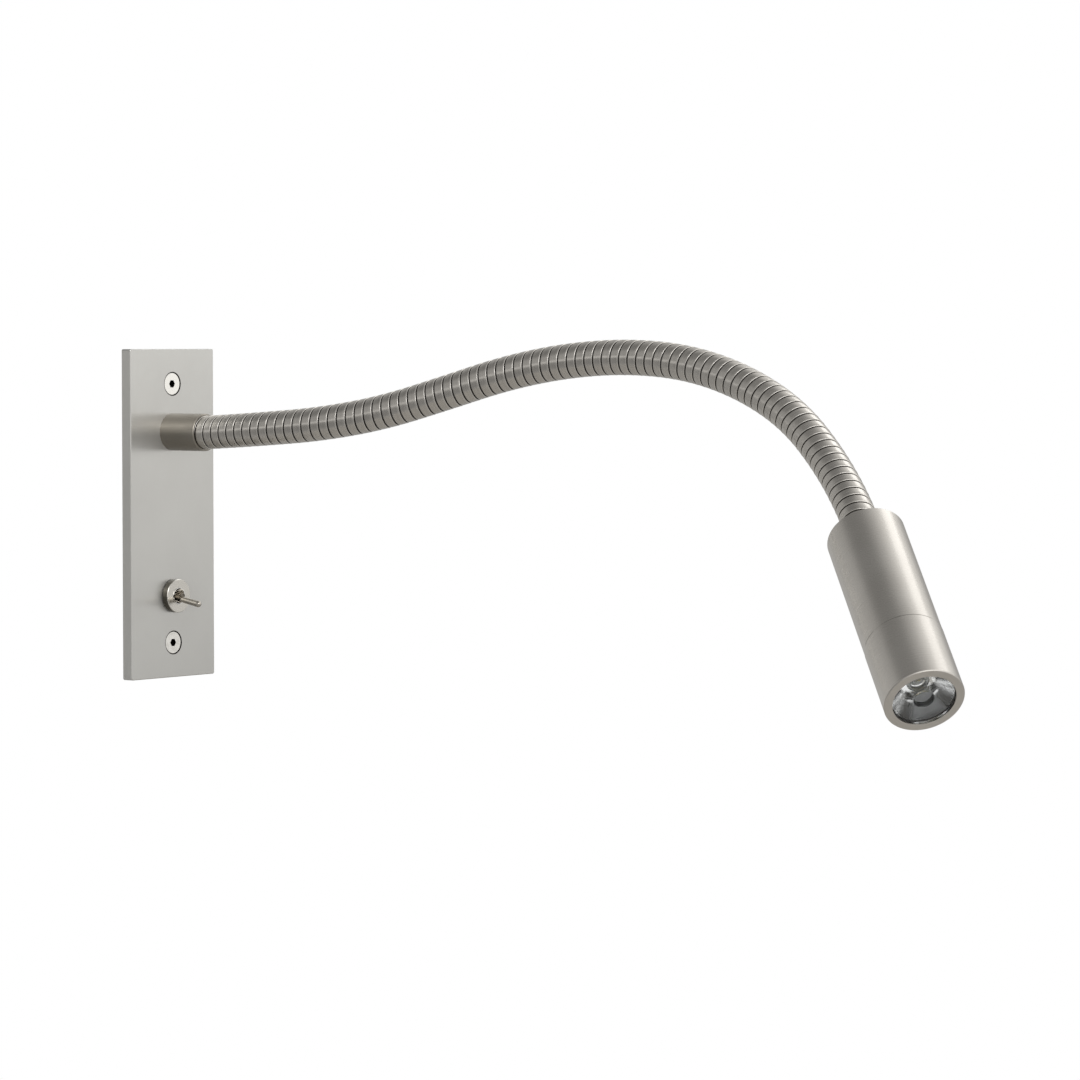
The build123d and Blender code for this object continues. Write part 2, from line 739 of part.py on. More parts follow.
TERMINAL_BACK = CASE_BACK + TERMINAL_LENGTH
ROCKER_PIVOT_DEPTH = (
    LEVER_PIVOT_DEPTH
    + LEVER_TAIL_BORE_START
    + SPRING_LENGTH
    + SPRING_GAP
    + PLUNGER_LENGTH
    + ROCKER_GAP
    + ROCKER_THICKNESS
)
ROCKER_PIVOT = SWITCH_CENTRE + IN * ROCKER_PIVOT_DEPTH
ROCKER_REACH = ROCKER_LENGTH / 2 * sin(radians(LEVER_TILT))
terminal_starts = {
    -TERMINAL_SPACING: ROCKER_PIVOT_DEPTH + ROCKER_REACH + ROCKER_GAP,
    0: ROCKER_PIVOT_DEPTH + ROCKER_SADDLE / 2 + ROCKER_GAP,
    TERMINAL_SPACING: ROCKER_PIVOT_DEPTH + ROCKER_REACH + ROCKER_GAP,
}

with BuildPart() as switch_case:
    with BuildSketch(Plane.XZ.offset(-CASE_FRONT)):
        with Locations((0, SWITCH_HEIGHT)):
            Rectangle(SWITCH_CASE_WIDTH, SWITCH_CASE_HEIGHT)
    extrude(amount=-SWITCH_CASE_DEPTH)
    with BuildSketch(Plane.XZ.offset(-CASE_FRONT - SWITCH_CASE_WALL)):
        with Locations((0, SWITCH_HEIGHT)):
            Rectangle(
                SWITCH_CASE_WIDTH - 2 * SWITCH_CASE_WALL,
                SWITCH_CASE_HEIGHT - 2 * SWITCH_CASE_WALL,
            )
    extrude(amount=-(SWITCH_CASE_DEPTH - 2 * SWITCH_CASE_WALL), mode=Mode.SUBTRACT)
    with BuildSketch(Plane.XZ.offset(-CASE_FRONT)):
        with Locations((0, SWITCH_HEIGHT)):
            Circle(BUSH_DIAMETER / 2 + RUNNING)
    extrude(amount=-SWITCH_CASE_WALL, mode=Mode.SUBTRACT)
    with BuildSketch(Plane.XZ.offset(-CASE_BACK)):
        with Locations(*[(0, SWITCH_HEIGHT + place) for place in terminal_starts]):
            Rectangle(TERMINAL_WIDTH + 2 * RUNNING, TERMINAL_THICKNESS + 2 * RUNNING)
    extrude(amount=SWITCH_CASE_WALL, mode=Mode.SUBTRACT)
finish(switch_case, "switch_case")

with BuildPart() as switch_terminals:
    for place, start in terminal_starts.items():
        with BuildSketch(Plane.XZ.offset(-start)):
            with Locations((0, SWITCH_HEIGHT + place)):
                Rectangle(TERMINAL_WIDTH, TERMINAL_THICKNESS)
        extrude(amount=-(TERMINAL_BACK - start))
finish(switch_terminals, "switch_terminals")

# ---------------------------------------------------------------- toggle switch: moving pieces

lever_angle = radians(LEVER_TILT)
BAT_DIR = Vector(0, -cos(lever_angle), -sin(lever_angle))
TAIL_DIR = -BAT_DIR
TAIL_BORE = PLUNGER_DIAMETER + 2 * RUNNING
PLUNGER_START = LEVER_TAIL_BORE_START + SPRING_LENGTH + SPRING_GAP

with BuildPart() as toggle_lever:
    with BuildSketch(turning_plane(LEVER_PIVOT, BAT_DIR)):
        ball_radius = LEVER_BALL / 2
        tail_meets_ball = -sqrt(ball_radius**2 - (LEVER_TAIL / 2) ** 2)
        neck_meets_ball = sqrt(ball_radius**2 - (LEVER_NECK / 2) ** 2)
        with BuildLine():
            Polyline(
                (0, LEVER_LENGTH),
                (0, -LEVER_TAIL_BORE_START),
                (TAIL_BORE / 2, -LEVER_TAIL_BORE_START),
                (TAIL_BORE / 2, -LEVER_TAIL_LENGTH),
                (LEVER_TAIL / 2, -LEVER_TAIL_LENGTH),
                (LEVER_TAIL / 2, tail_meets_ball),
            )
            sphere_arc(LEVER_BALL, 0, tail_meets_ball, neck_meets_ball)
            Polyline(
                (LEVER_NECK / 2, neck_meets_ball),
                (LEVER_NECK / 2, LEVER_NECK_LENGTH),
                (LEVER_TIP / 2, LEVER_LENGTH - LEVER_TIP / 2),
            )
            CenterArc((0, LEVER_LENGTH - LEVER_TIP / 2), LEVER_TIP / 2, 0, 90)
        make_face()
    revolve(axis=Axis(LEVER_PIVOT, BAT_DIR))
    with BuildSketch(Plane(origin=LEVER_PIVOT, z_dir=PIVOT_AXIS_X)):
        Circle(PIVOT_PIN / 2 + RUNNING)
    extrude(amount=LEVER_BALL, both=True, mode=Mode.SUBTRACT)
finish(toggle_lever, "toggle_lever")

with BuildPart() as toggle_pivot_pin:
    with BuildSketch(Plane(origin=LEVER_PIVOT, z_dir=PIVOT_AXIS_X)):
        Circle(PIVOT_PIN / 2)
    extrude(amount=BUSH_DIAMETER / 2 - LOOSE, both=True)
finish(toggle_pivot_pin, "toggle_pivot_pin")

with BuildPart() as toggle_plunger:
    with BuildSketch(turning_plane(LEVER_PIVOT, TAIL_DIR)):
        tip = PLUNGER_START + PLUNGER_LENGTH
        with BuildLine():
            Polyline(
                (0, tip),
                (0, PLUNGER_START),
                (PLUNGER_DIAMETER / 2, PLUNGER_START),
                (PLUNGER_DIAMETER / 2, tip - PLUNGER_DIAMETER / 2),
            )
            CenterArc((0, tip - PLUNGER_DIAMETER / 2), PLUNGER_DIAMETER / 2, 0, 90)
        make_face()
    revolve(axis=Axis(LEVER_PIVOT, TAIL_DIR))
finish(toggle_plunger, "toggle_plunger")

with BuildPart() as toggle_spring:
    with BuildLine() as coil:
        Helix(
            (SPRING_LENGTH - SPRING_WIRE) / SPRING_TURNS,
            SPRING_LENGTH - SPRING_WIRE,
            TAIL_BORE / 2 - RUNNING - SPRING_WIRE / 2,
            center=LEVER_PIVOT + TAIL_DIR * (LEVER_TAIL_BORE_START + SPRING_WIRE / 2),
            direction=TAIL_DIR,
        )
    with BuildSketch(Plane(origin=coil.line @ 0, z_dir=coil.line % 0)):
        Circle(SPRING_WIRE / 2)
    sweep(path=coil.line, is_frenet=True)
finish(toggle_spring, "toggle_spring")

STRIP_DIR = Vector(0, sin(lever_angle), cos(lever_angle))
ROCKER_NORMAL = PIVOT_AXIS_X.cross(STRIP_DIR)

with BuildPart() as switch_rocker:
    with BuildSketch(Plane(origin=ROCKER_PIVOT, x_dir=PIVOT_AXIS_X, z_dir=ROCKER_NORMAL)):
        Rectangle(ROCKER_WIDTH, ROCKER_LENGTH)
    extrude(amount=ROCKER_THICKNESS)
    with BuildSketch(Plane(origin=ROCKER_PIVOT, z_dir=PIVOT_AXIS_X)):
        Circle(ROCKER_SADDLE / 2)
    extrude(amount=ROCKER_WIDTH / 2, both=True)
finish(switch_rocker, "switch_rocker")

# ---------------------------------------------------------------- driver: case, lid and screws

DRIVER_HEIGHT = DRIVER_TOP - DRIVER_BOTTOM
DRIVER_MIDDLE = (DRIVER_TOP + DRIVER_BOTTOM) / 2
DRIVER_BACK = POCKET_FLOOR + DRIVER_DEPTH
DRIVER_FLOOR = POCKET_FLOOR + DRIVER_WALL
INNER_WIDTH = DRIVER_WIDTH - 2 * DRIVER_WALL
INNER_HEIGHT = DRIVER_HEIGHT - 2 * DRIVER_WALL
BOARD_DEPTH = DRIVER_FLOOR + BOARD_STANDOFF
BOARD_FACE = BOARD_DEPTH + BOARD_THICKNESS
SWITCH_LEAD_DEPTH = TERMINAL_BACK + SWITCH_LEAD_LOOP
block_x, block_z = TERMINAL_BLOCK_PLACE
block_width, block_height, block_depth = TERMINAL_BLOCK_SIZE
FEED_DEPTH = BOARD_FACE + block_depth / 2
post_places = [
    (x * (INNER_WIDTH / 2 - POST_INSET), DRIVER_MIDDLE + z * (INNER_HEIGHT / 2 - POST_INSET))
    for x in (1, -1)
    for z in (1, -1)
]
driver_screw_places = [(DRIVER_SCREW_SPACING / 2, 0), (-DRIVER_SCREW_SPACING / 2, 0)]

with BuildPart() as driver_case:
    with BuildSketch(Plane.XZ.offset(-POCKET_FLOOR)):
        with Locations((0, DRIVER_MIDDLE)):
            RectangleRounded(DRIVER_WIDTH, DRIVER_HEIGHT, DRIVER_CORNER)
    extrude(amount=-DRIVER_DEPTH)
    with BuildSketch(Plane.XZ.offset(-DRIVER_FLOOR)):
        with Locations((0, DRIVER_MIDDLE)):
            Rectangle(INNER_WIDTH, INNER_HEIGHT)
    extrude(amount=-(DRIVER_DEPTH - DRIVER_WALL), mode=Mode.SUBTRACT)
    with BuildSketch(Plane.XZ.offset(-DRIVER_FLOOR)):
        with Locations(*post_places):
            Circle(POST_DIAMETER / 2)
    extrude(amount=-BOARD_STANDOFF)
    with BuildSketch(Plane.XZ.offset(-POCKET_FLOOR)):
        with Locations(*driver_screw_places):
            Circle(DRIVER_SCREW / 2 + LOOSE)
    extrude(amount=-DRIVER_WALL, mode=Mode.SUBTRACT)
    with BuildSketch(Plane.XY.offset(DRIVER_TOP)):
        with Locations((0, LEAD_DROP_DEPTH)):
            Circle(LEAD_DIAMETER / 2 + LOOSE)
    extrude(amount=-DRIVER_WALL, mode=Mode.SUBTRACT)
    with BuildSketch(Plane.XY.offset(DRIVER_BOTTOM)):
        with Locations((0, SWITCH_LEAD_DEPTH)):
            Circle(SWITCH_LEAD_DIAMETER / 2 + LOOSE)
    extrude(amount=DRIVER_WALL, mode=Mode.SUBTRACT)
    with BuildSketch(Plane(origin=(DRIVER_WIDTH / 2, 0, 0), x_dir=(0, 1, 0), z_dir=(1, 0, 0))):
        with Locations((FEED_DEPTH, block_z)):
            Circle(FEED_HOLE / 2)
    extrude(amount=-DRIVER_WALL, mode=Mode.SUBTRACT)
finish(driver_case, "driver_case")

with BuildPart() as driver_lid:
    with BuildSketch(Plane.XZ.offset(-DRIVER_BACK)):
        with Locations((0, DRIVER_MIDDLE)):
            RectangleRounded(DRIVER_WIDTH, DRIVER_HEIGHT, DRIVER_CORNER)
    extrude(amount=-LID_THICKNESS)
    with BuildSketch(Plane.XZ.offset(-DRIVER_BACK)):
        with Locations((0, DRIVER_MIDDLE)):
            Rectangle(INNER_WIDTH - 2 * LOOSE, INNER_HEIGHT - 2 * LOOSE)
            Rectangle(
                INNER_WIDTH - 2 * DRIVER_WALL,
                INNER_HEIGHT - 2 * DRIVER_WALL,
                mode=Mode.SUBTRACT,
            )
    extrude(amount=LID_SPIGOT)
finish(driver_lid, "driver_lid")

with BuildPart() as driver_screws:
    for x, z in driver_screw_places:
        screw_axis = Vector(x, 0, z)
        revolve(
            half_outline(
                screw_axis,
                IN,
                (0, POCKET_FLOOR - BLIND_HOLE_DEPTH + LOOSE),
                (DRIVER_SCREW / 2, POCKET_FLOOR - BLIND_HOLE_DEPTH + LOOSE),
                (DRIVER_SCREW / 2, DRIVER_FLOOR),
                (DRIVER_SCREW_HEAD / 2, DRIVER_FLOOR),
                (DRIVER_SCREW_HEAD / 2, DRIVER_FLOOR + DRIVER_SCREW_HEAD_HEIGHT),
                (0, DRIVER_FLOOR + DRIVER_SCREW_HEAD_HEIGHT),
            ),
            axis=Axis(screw_axis, IN),
        )
finish(driver_screws, "driver_screws")

# ---------------------------------------------------------------- driver: board and what stands on it

with BuildPart() as driver_board:
    with BuildSketch(Plane.XZ.offset(-BOARD_DEPTH)):
        with Locations((0, DRIVER_MIDDLE)):
            Rectangle(INNER_WIDTH - 2 * BOARD_MARGIN, INNER_HEIGHT - 2 * BOARD_MARGIN)
    extrude(amount=-BOARD_THICKNESS)
finish(driver_board, "driver_board")

transformer_width, transformer_height, transformer_depth = TRANSFORMER_SIZE

with BuildPart() as driver_transformer:
    with BuildSketch(Plane.XZ.offset(-BOARD_FACE)):
        with Locations(TRANSFORMER_PLACE):
            Rectangle(transformer_width, transformer_height)
    extrude(amount=-BOBBIN_FLANGE)
    with BuildSketch(Plane.XZ.offset(-BOARD_FACE - BOBBIN_FLANGE)):
        with Locations(TRANSFORMER_PLACE):
            RectangleRounded(
                transformer_width - 2 * BOBBIN_FLANGE,
                transformer_height - 2 * BOBBIN_FLANGE,
                BOBBIN_FLANGE,
            )
    extrude(amount=-(transformer_depth - 2 * BOBBIN_FLANGE))
    with BuildSketch(Plane.XZ.offset(-BOARD_FACE - transformer_depth + BOBBIN_FLANGE)):
        with Locations(TRANSFORMER_PLACE):
            Rectangle(transformer_width, transformer_height)
    extrude(amount=-BOBBIN_FLANGE)
finish(driver_transformer, "driver_transformer")

with BuildPart() as driver_capacitor:
    with BuildSketch(Plane.XZ.offset(-BOARD_FACE)):
        with Locations(CAPACITOR_PLACE):
            Circle(CAPACITOR_DIAMETER / 2)
    extrude(amount=-CAPACITOR_LENGTH)
    chamfer(driver_capacitor.faces().sort_by(Axis.Y)[-1].edges(), CAPACITOR_EDGE)
finish(driver_capacitor, "driver_capacitor")

with BuildPart() as mains_terminal:
    with BuildSketch(Plane.XZ.offset(-BOARD_FACE)):
        with Locations(TERMINAL_BLOCK_PLACE):
            Rectangle(block_width, block_height)
    extrude(amount=-block_depth)
    entry_face = Plane(
        origin=(block_x + block_width / 2, 0, 0), x_dir=(0, 1, 0), z_dir=(1, 0, 0)
    )
    entry_places = [(FEED_DEPTH, block_z + side * TERMINAL_ENTRY_SPACING / 2) for side in (1, -1)]
    with BuildSketch(entry_face):
        with Locations(*entry_places):
            Circle(TERMINAL_ENTRY / 2)
    extrude(amount=-TERMINAL_ENTRY_DEPTH, mode=Mode.SUBTRACT)
finish(mains_terminal, "mains_terminal")

# ---------------------------------------------------------------- switch lead

switch_route = [
    Vector(0, SWITCH_LEAD_DEPTH, DRIVER_BOTTOM + SWITCH_LEAD_INSIDE),
    Vector(0, SWITCH_LEAD_DEPTH, SWITCH_HEIGHT),
    Vector(0, TERMINAL_BACK, SWITCH_HEIGHT),
]
switch_radii = route_radii(switch_route)
print("switch lead radii:", [round(radius, 1) for radius in switch_radii])

with BuildPart() as switch_lead:
    with BuildLine() as route:
        FilletPolyline(*switch_route, radius=switch_radii)
    with BuildSketch(Plane(origin=switch_route[0], z_dir=route.line % 0)):
        Circle(SWITCH_LEAD_DIAMETER / 2)
    sweep(path=route.line)
finish(switch_lead, "switch_lead")
print("switch lead length:", round(route.wire().length, 1))

# ---------------------------------------------------------------- lamp head: body, bezel, nipple and nut

HEAD_WEB_FRONT = HEAD_SOCKET_DEPTH + HEAD_WEB
LIP_BACK = HEAD_LENGTH - BEZEL_LIP
FRONT_BORE = HEAD_BORE + 2 * RUNNING

with BuildPart() as head_body:
    revolve(
        half_outline(
            HEAD_REAR,
            HEAD_DIR,
            (HOSE_DIAMETER / 2 + RUNNING, 0),
            (HEAD_DIAMETER / 2 - HEAD_REAR_EDGE, 0),
            (HEAD_DIAMETER / 2, HEAD_REAR_EDGE),
            (HEAD_DIAMETER / 2, BODY_LENGTH),
            (SPIGOT_DIAMETER / 2, BODY_LENGTH),
            (SPIGOT_DIAMETER / 2, SINK_FRONT),
            (HEAD_BORE / 2, SINK_FRONT),
            (HEAD_BORE / 2, HEAD_WEB_FRONT),
            (NIPPLE_DIAMETER / 2 + RUNNING, HEAD_WEB_FRONT),
            (NIPPLE_DIAMETER / 2 + RUNNING, HEAD_SOCKET_DEPTH),
            (HOSE_DIAMETER / 2 + RUNNING, HEAD_SOCKET_DEPTH),
        ),
        axis=Axis(HEAD_REAR, HEAD_DIR),
    )
finish(head_body, "head_body")

with BuildPart() as head_bezel:
    revolve(
        half_outline(
            HEAD_REAR,
            HEAD_DIR,
            (SPIGOT_DIAMETER / 2 + RUNNING, BODY_LENGTH + SEAM_GAP),
            (BEZEL_DIAMETER / 2, BODY_LENGTH + SEAM_GAP),
            (BEZEL_DIAMETER / 2, HEAD_LENGTH - BEZEL_EDGE),
            (BEZEL_DIAMETER / 2 - BEZEL_EDGE, HEAD_LENGTH),
            (BEZEL_OPENING / 2, HEAD_LENGTH),
            (BEZEL_OPENING / 2, LIP_BACK),
            (FRONT_BORE / 2, LIP_BACK),
            (FRONT_BORE / 2, SINK_FRONT + SEAM_GAP),
            (SPIGOT_DIAMETER / 2 + RUNNING, SINK_FRONT + SEAM_GAP),
        ),
        axis=Axis(HEAD_REAR, HEAD_DIR),
    )
finish(head_bezel, "head_bezel")

with BuildPart() as head_nipple:
    revolve(
        tube_outline(
            HEAD_REAR,
            HEAD_DIR,
            NIPPLE_BORE,
            NIPPLE_DIAMETER,
            -NIPPLE_INSIDE_HOSE,
            HEAD_WEB_FRONT + HEAD_NIPPLE_TAIL,
        ),
        axis=Axis(HEAD_REAR, HEAD_DIR),
    )
finish(head_nipple, "head_nipple")

with BuildPart() as head_nut:
    with BuildSketch(head_section(HEAD_WEB_FRONT)):
        RegularPolygon(NUT_ACROSS_FLATS / 2, 6, major_radius=False)
        Circle(NIPPLE_DIAMETER / 2 + RUNNING, mode=Mode.SUBTRACT)
    extrude(amount=NUT_THICKNESS)
finish(head_nut, "head_nut")

# ---------------------------------------------------------------- lamp head: light engine

SINK_DIAMETER = HEAD_BORE - 2 * RUNNING
board_screw_places = [(BOARD_SCREW_SPACING / 2, 0), (-BOARD_SCREW_SPACING / 2, 0)]
sink_outline = [(0, SINK_FRONT), (0, SINK_BACK)]
for fin in range(SINK_FINS):
    fin_back = SINK_BACK + fin * SINK_FIN_PITCH
    fin_front = fin_back + SINK_FIN_PITCH - SINK_FIN_GAP
    sink_outline.append((SINK_DIAMETER / 2, fin_back))
    sink_outline.append((SINK_DIAMETER / 2, fin_front))
    sink_outline.append((SINK_DIAMETER / 2 - SINK_FIN_DEPTH, fin_front))
    sink_outline.append((SINK_DIAMETER / 2 - SINK_FIN_DEPTH, fin_back + SINK_FIN_PITCH))
sink_outline.append((SINK_DIAMETER / 2, SINK_BACK + SINK_FINS * SINK_FIN_PITCH))
sink_outline.append((SINK_DIAMETER / 2, SINK_FRONT))

with BuildPart() as heat_sink:
    revolve(half_outline(HEAD_REAR, HEAD_DIR, *sink_outline), axis=Axis(HEAD_REAR, HEAD_DIR))
    with BuildSketch(head_section(SINK_FRONT)):
        with Locations((0, LEAD_OFFSET)):
            Circle(LEAD_HOLE / 2)
    extrude(amount=-SINK_LENGTH, mode=Mode.SUBTRACT)
    with BuildSketch(head_section(SINK_FRONT)):
        with Locations(*board_screw_places):
            Circle(BOARD_SCREW / 2 + RUNNING)
    extrude(amount=-BOARD_SCREW_DEPTH - LOOSE, mode=Mode.SUBTRACT)
finish(heat_sink, "heat_sink")


def board_shape(diameter):
    """Round board outline with its screw holes and the hole for the lead."""
    with BuildSketch() as shape:
        Circle(diameter / 2)
        with Locations(*board_screw_places):
            Circle(BOARD_SCREW / 2 + LOOSE, mode=Mode.SUBTRACT)
        with Locations((0, LEAD_OFFSET)):
            Circle(LEAD_HOLE / 2, mode=Mode.SUBTRACT)
    return shape.sketch


with BuildPart() as thermal_pad:
    with BuildSketch(head_section(SINK_FRONT)):
        add(board_shape(LED_BOARD_DIAMETER))
    extrude(amount=PAD_THICKNESS)
finish(thermal_pad, "thermal_pad")

with BuildPart() as led_board:
    with BuildSketch(head_section(LED_BOARD_BACK)):
        add(board_shape(LED_BOARD_DIAMETER))
    extrude(amount=LED_BOARD_THICKNESS)
finish(led_board, "led_board")

with BuildPart() as board_screws:
    for x, _ in board_screw_places:
        screw_foot = head_point(SINK_FRONT - BOARD_SCREW_DEPTH) + HEAD_SIDE * x
        shank = BOARD_SCREW_DEPTH + PAD_THICKNESS + LED_BOARD_THICKNESS
        revolve(
            half_outline(
                screw_foot,
                HEAD_DIR,
                (0, 0),
                (BOARD_SCREW / 2, 0),
                (BOARD_SCREW / 2, shank),
                (BOARD_SCREW_HEAD / 2, shank),
                (BOARD_SCREW_HEAD / 2, shank + BOARD_SCREW_HEAD_HEIGHT),
                (0, shank + BOARD_SCREW_HEAD_HEIGHT),
            ),
            axis=Axis(screw_foot, HEAD_DIR),
        )
finish(board_screws, "board_screws")

with BuildPart() as led_emitter:
    with BuildSketch(head_section(LED_BOARD_FRONT)):
        Rectangle(EMITTER_SIZE, EMITTER_SIZE)
    extrude(amount=EMITTER_HEIGHT)
    dome_centre = head_point(LED_BOARD_FRONT + EMITTER_HEIGHT)
    with BuildSketch(turning_plane(dome_centre, HEAD_DIR)):
        with BuildLine():
            Polyline((0, EMITTER_DOME / 2), (0, 0), (EMITTER_DOME / 2, 0))
            CenterArc((0, 0), EMITTER_DOME / 2, 0, 90)
        make_face()
    revolve(axis=Axis(dome_centre, HEAD_DIR))
finish(led_emitter, "led_emitter")

FLANGE_FRONT = LIP_BACK - SEAL_THICKNESS
FLANGE_BACK = FLANGE_FRONT - LENS_FLANGE_THICKNESS
HOLDER_DIAMETER = HEAD_BORE - 2 * LOOSE
HOLDER_BORE = HOLDER_DIAMETER - 2 * HOLDER_WALL
HOLDER_BASE = SINK_FRONT + HOLDER_BASE_HEIGHT
LENS_FOOT = LED_BOARD_FRONT + LENS_FOOT_GAP
LENS_FRONT = FLANGE_FRONT + LENS_FRONT_STEP
LENS_SHOULDER = HOLDER_BORE / 2 - LOOSE

with BuildPart() as lens_holder:
    revolve(
        half_outline(
            HEAD_REAR,
            HEAD_DIR,
            (HOLDER_BORE / 2, SINK_FRONT),
            (HOLDER_DIAMETER / 2, SINK_FRONT),
            (HOLDER_DIAMETER / 2, FLANGE_BACK),
            (HOLDER_BORE / 2, FLANGE_BACK),
            (HOLDER_BORE / 2, HOLDER_BASE + HOLDER_BASE_THICKNESS),
            (HOLDER_BASE_HOLE / 2, HOLDER_BASE + HOLDER_BASE_THICKNESS),
            (HOLDER_BASE_HOLE / 2, HOLDER_BASE),
            (HOLDER_BORE / 2, HOLDER_BASE),
        ),
        axis=Axis(HEAD_REAR, HEAD_DIR),
    )
finish(lens_holder, "lens_holder")

with BuildPart() as lens:
    revolve(
        half_outline(
            HEAD_REAR,
            HEAD_DIR,
            (LENS_CAVITY_DIAMETER / 2, LENS_FOOT),
            (LENS_FOOT_DIAMETER / 2, LENS_FOOT),
            (LENS_SHOULDER, FLANGE_BACK),
            (HOLDER_DIAMETER / 2, FLANGE_BACK),
            (HOLDER_DIAMETER / 2, FLANGE_FRONT),
            (BEZEL_OPENING / 2 - LOOSE, FLANGE_FRONT),
            (BEZEL_OPENING / 2 - LOOSE, LENS_FRONT),
            (LENS_DIMPLE_DIAMETER / 2, LENS_FRONT),
            (LENS_DIMPLE_FLOOR / 2, LENS_FRONT - LENS_DIMPLE_DEPTH),
            (0, LENS_FRONT - LENS_DIMPLE_DEPTH),
            (0, LENS_FOOT + LENS_CAVITY_DEPTH),
            (LENS_CAVITY_DIAMETER / 2, LENS_FOOT + LENS_CAVITY_DEPTH),
        ),
        axis=Axis(HEAD_REAR, HEAD_DIR),
    )
finish(lens, "lens")

with BuildPart() as lens_seal:
    revolve(
        tube_outline(
            HEAD_REAR,
            HEAD_DIR,
            HOLDER_DIAMETER - 2 * SEAL_WIDTH,
            HOLDER_DIAMETER,
            FLANGE_FRONT,
            LIP_BACK,
        ),
        axis=Axis(HEAD_REAR, HEAD_DIR),
    )
finish(lens_seal, "lens_seal")

print("hinges:", [tuple(round(c, 3) for c in hinge) for hinge in hinges])
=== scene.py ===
"""Gooseneck wall sconce: the looks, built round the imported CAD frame.

Metres, +Z up, wall face at y = 0.
"""

import json
import math

import bpy
import numpy as np
from mathutils import Matrix, Vector

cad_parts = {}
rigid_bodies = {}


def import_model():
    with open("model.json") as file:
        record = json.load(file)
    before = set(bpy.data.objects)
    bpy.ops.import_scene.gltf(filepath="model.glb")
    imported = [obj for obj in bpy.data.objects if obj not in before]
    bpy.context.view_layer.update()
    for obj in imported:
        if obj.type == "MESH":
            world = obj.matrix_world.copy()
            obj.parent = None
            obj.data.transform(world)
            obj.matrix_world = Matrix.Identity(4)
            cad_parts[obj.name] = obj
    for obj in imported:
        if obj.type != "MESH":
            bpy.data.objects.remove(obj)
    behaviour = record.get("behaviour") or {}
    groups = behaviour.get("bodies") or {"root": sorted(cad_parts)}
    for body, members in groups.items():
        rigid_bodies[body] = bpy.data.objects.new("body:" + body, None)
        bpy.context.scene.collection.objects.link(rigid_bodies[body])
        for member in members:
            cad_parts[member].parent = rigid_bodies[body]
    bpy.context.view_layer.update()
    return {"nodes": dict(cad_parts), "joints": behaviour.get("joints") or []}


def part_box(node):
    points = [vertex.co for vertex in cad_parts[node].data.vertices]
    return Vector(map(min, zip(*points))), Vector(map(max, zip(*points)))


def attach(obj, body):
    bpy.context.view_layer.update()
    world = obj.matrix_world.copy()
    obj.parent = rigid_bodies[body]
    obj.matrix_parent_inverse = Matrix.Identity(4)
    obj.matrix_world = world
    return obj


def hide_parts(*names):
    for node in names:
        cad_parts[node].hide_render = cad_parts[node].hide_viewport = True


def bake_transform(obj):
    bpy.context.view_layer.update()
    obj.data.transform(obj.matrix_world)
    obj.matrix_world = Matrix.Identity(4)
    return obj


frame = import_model()
nodes = frame["nodes"]

MM = 0.001

# ---------------------------------------------------------------- camera

AZIMUTH, ELEVATION, ROLL = math.radians(-51.2014), math.radians(2.6216), math.radians(-0.033)
TARGET = Vector((0.0, -0.20147, -0.00559))
DISTANCE = 1.7253
FOCAL_LENGTH, SENSOR_WIDTH = 147.63, 36.0
CLIP_NEAR, CLIP_FAR = 0.05, 20.0


def make_camera():
    back = Vector(
        (
            math.sin(AZIMUTH) * math.cos(ELEVATION),
            -math.cos(AZIMUTH) * math.cos(ELEVATION),
            math.sin(ELEVATION),
        )
    )
    right = (-back).cross(Vector((0, 0, 1))).normalized()
    up = right.cross(-back)
    rolled_right = right * math.cos(ROLL) + up * math.sin(ROLL)
    rolled_up = up * math.cos(ROLL) - right * math.sin(ROLL)
    data = bpy.data.cameras.new("camera")
    data.lens = FOCAL_LENGTH
    data.sensor_width = SENSOR_WIDTH
    data.clip_start, data.clip_end = CLIP_NEAR, CLIP_FAR
    camera = bpy.data.objects.new("camera", data)
    bpy.context.scene.collection.objects.link(camera)
    axes = Matrix((rolled_right, rolled_up, back)).transposed()
    camera.matrix_world = Matrix.Translation(TARGET + back * DISTANCE) @ axes.to_4x4()
    bpy.context.scene.camera = camera


make_camera()

# ---------------------------------------------------------------- materials


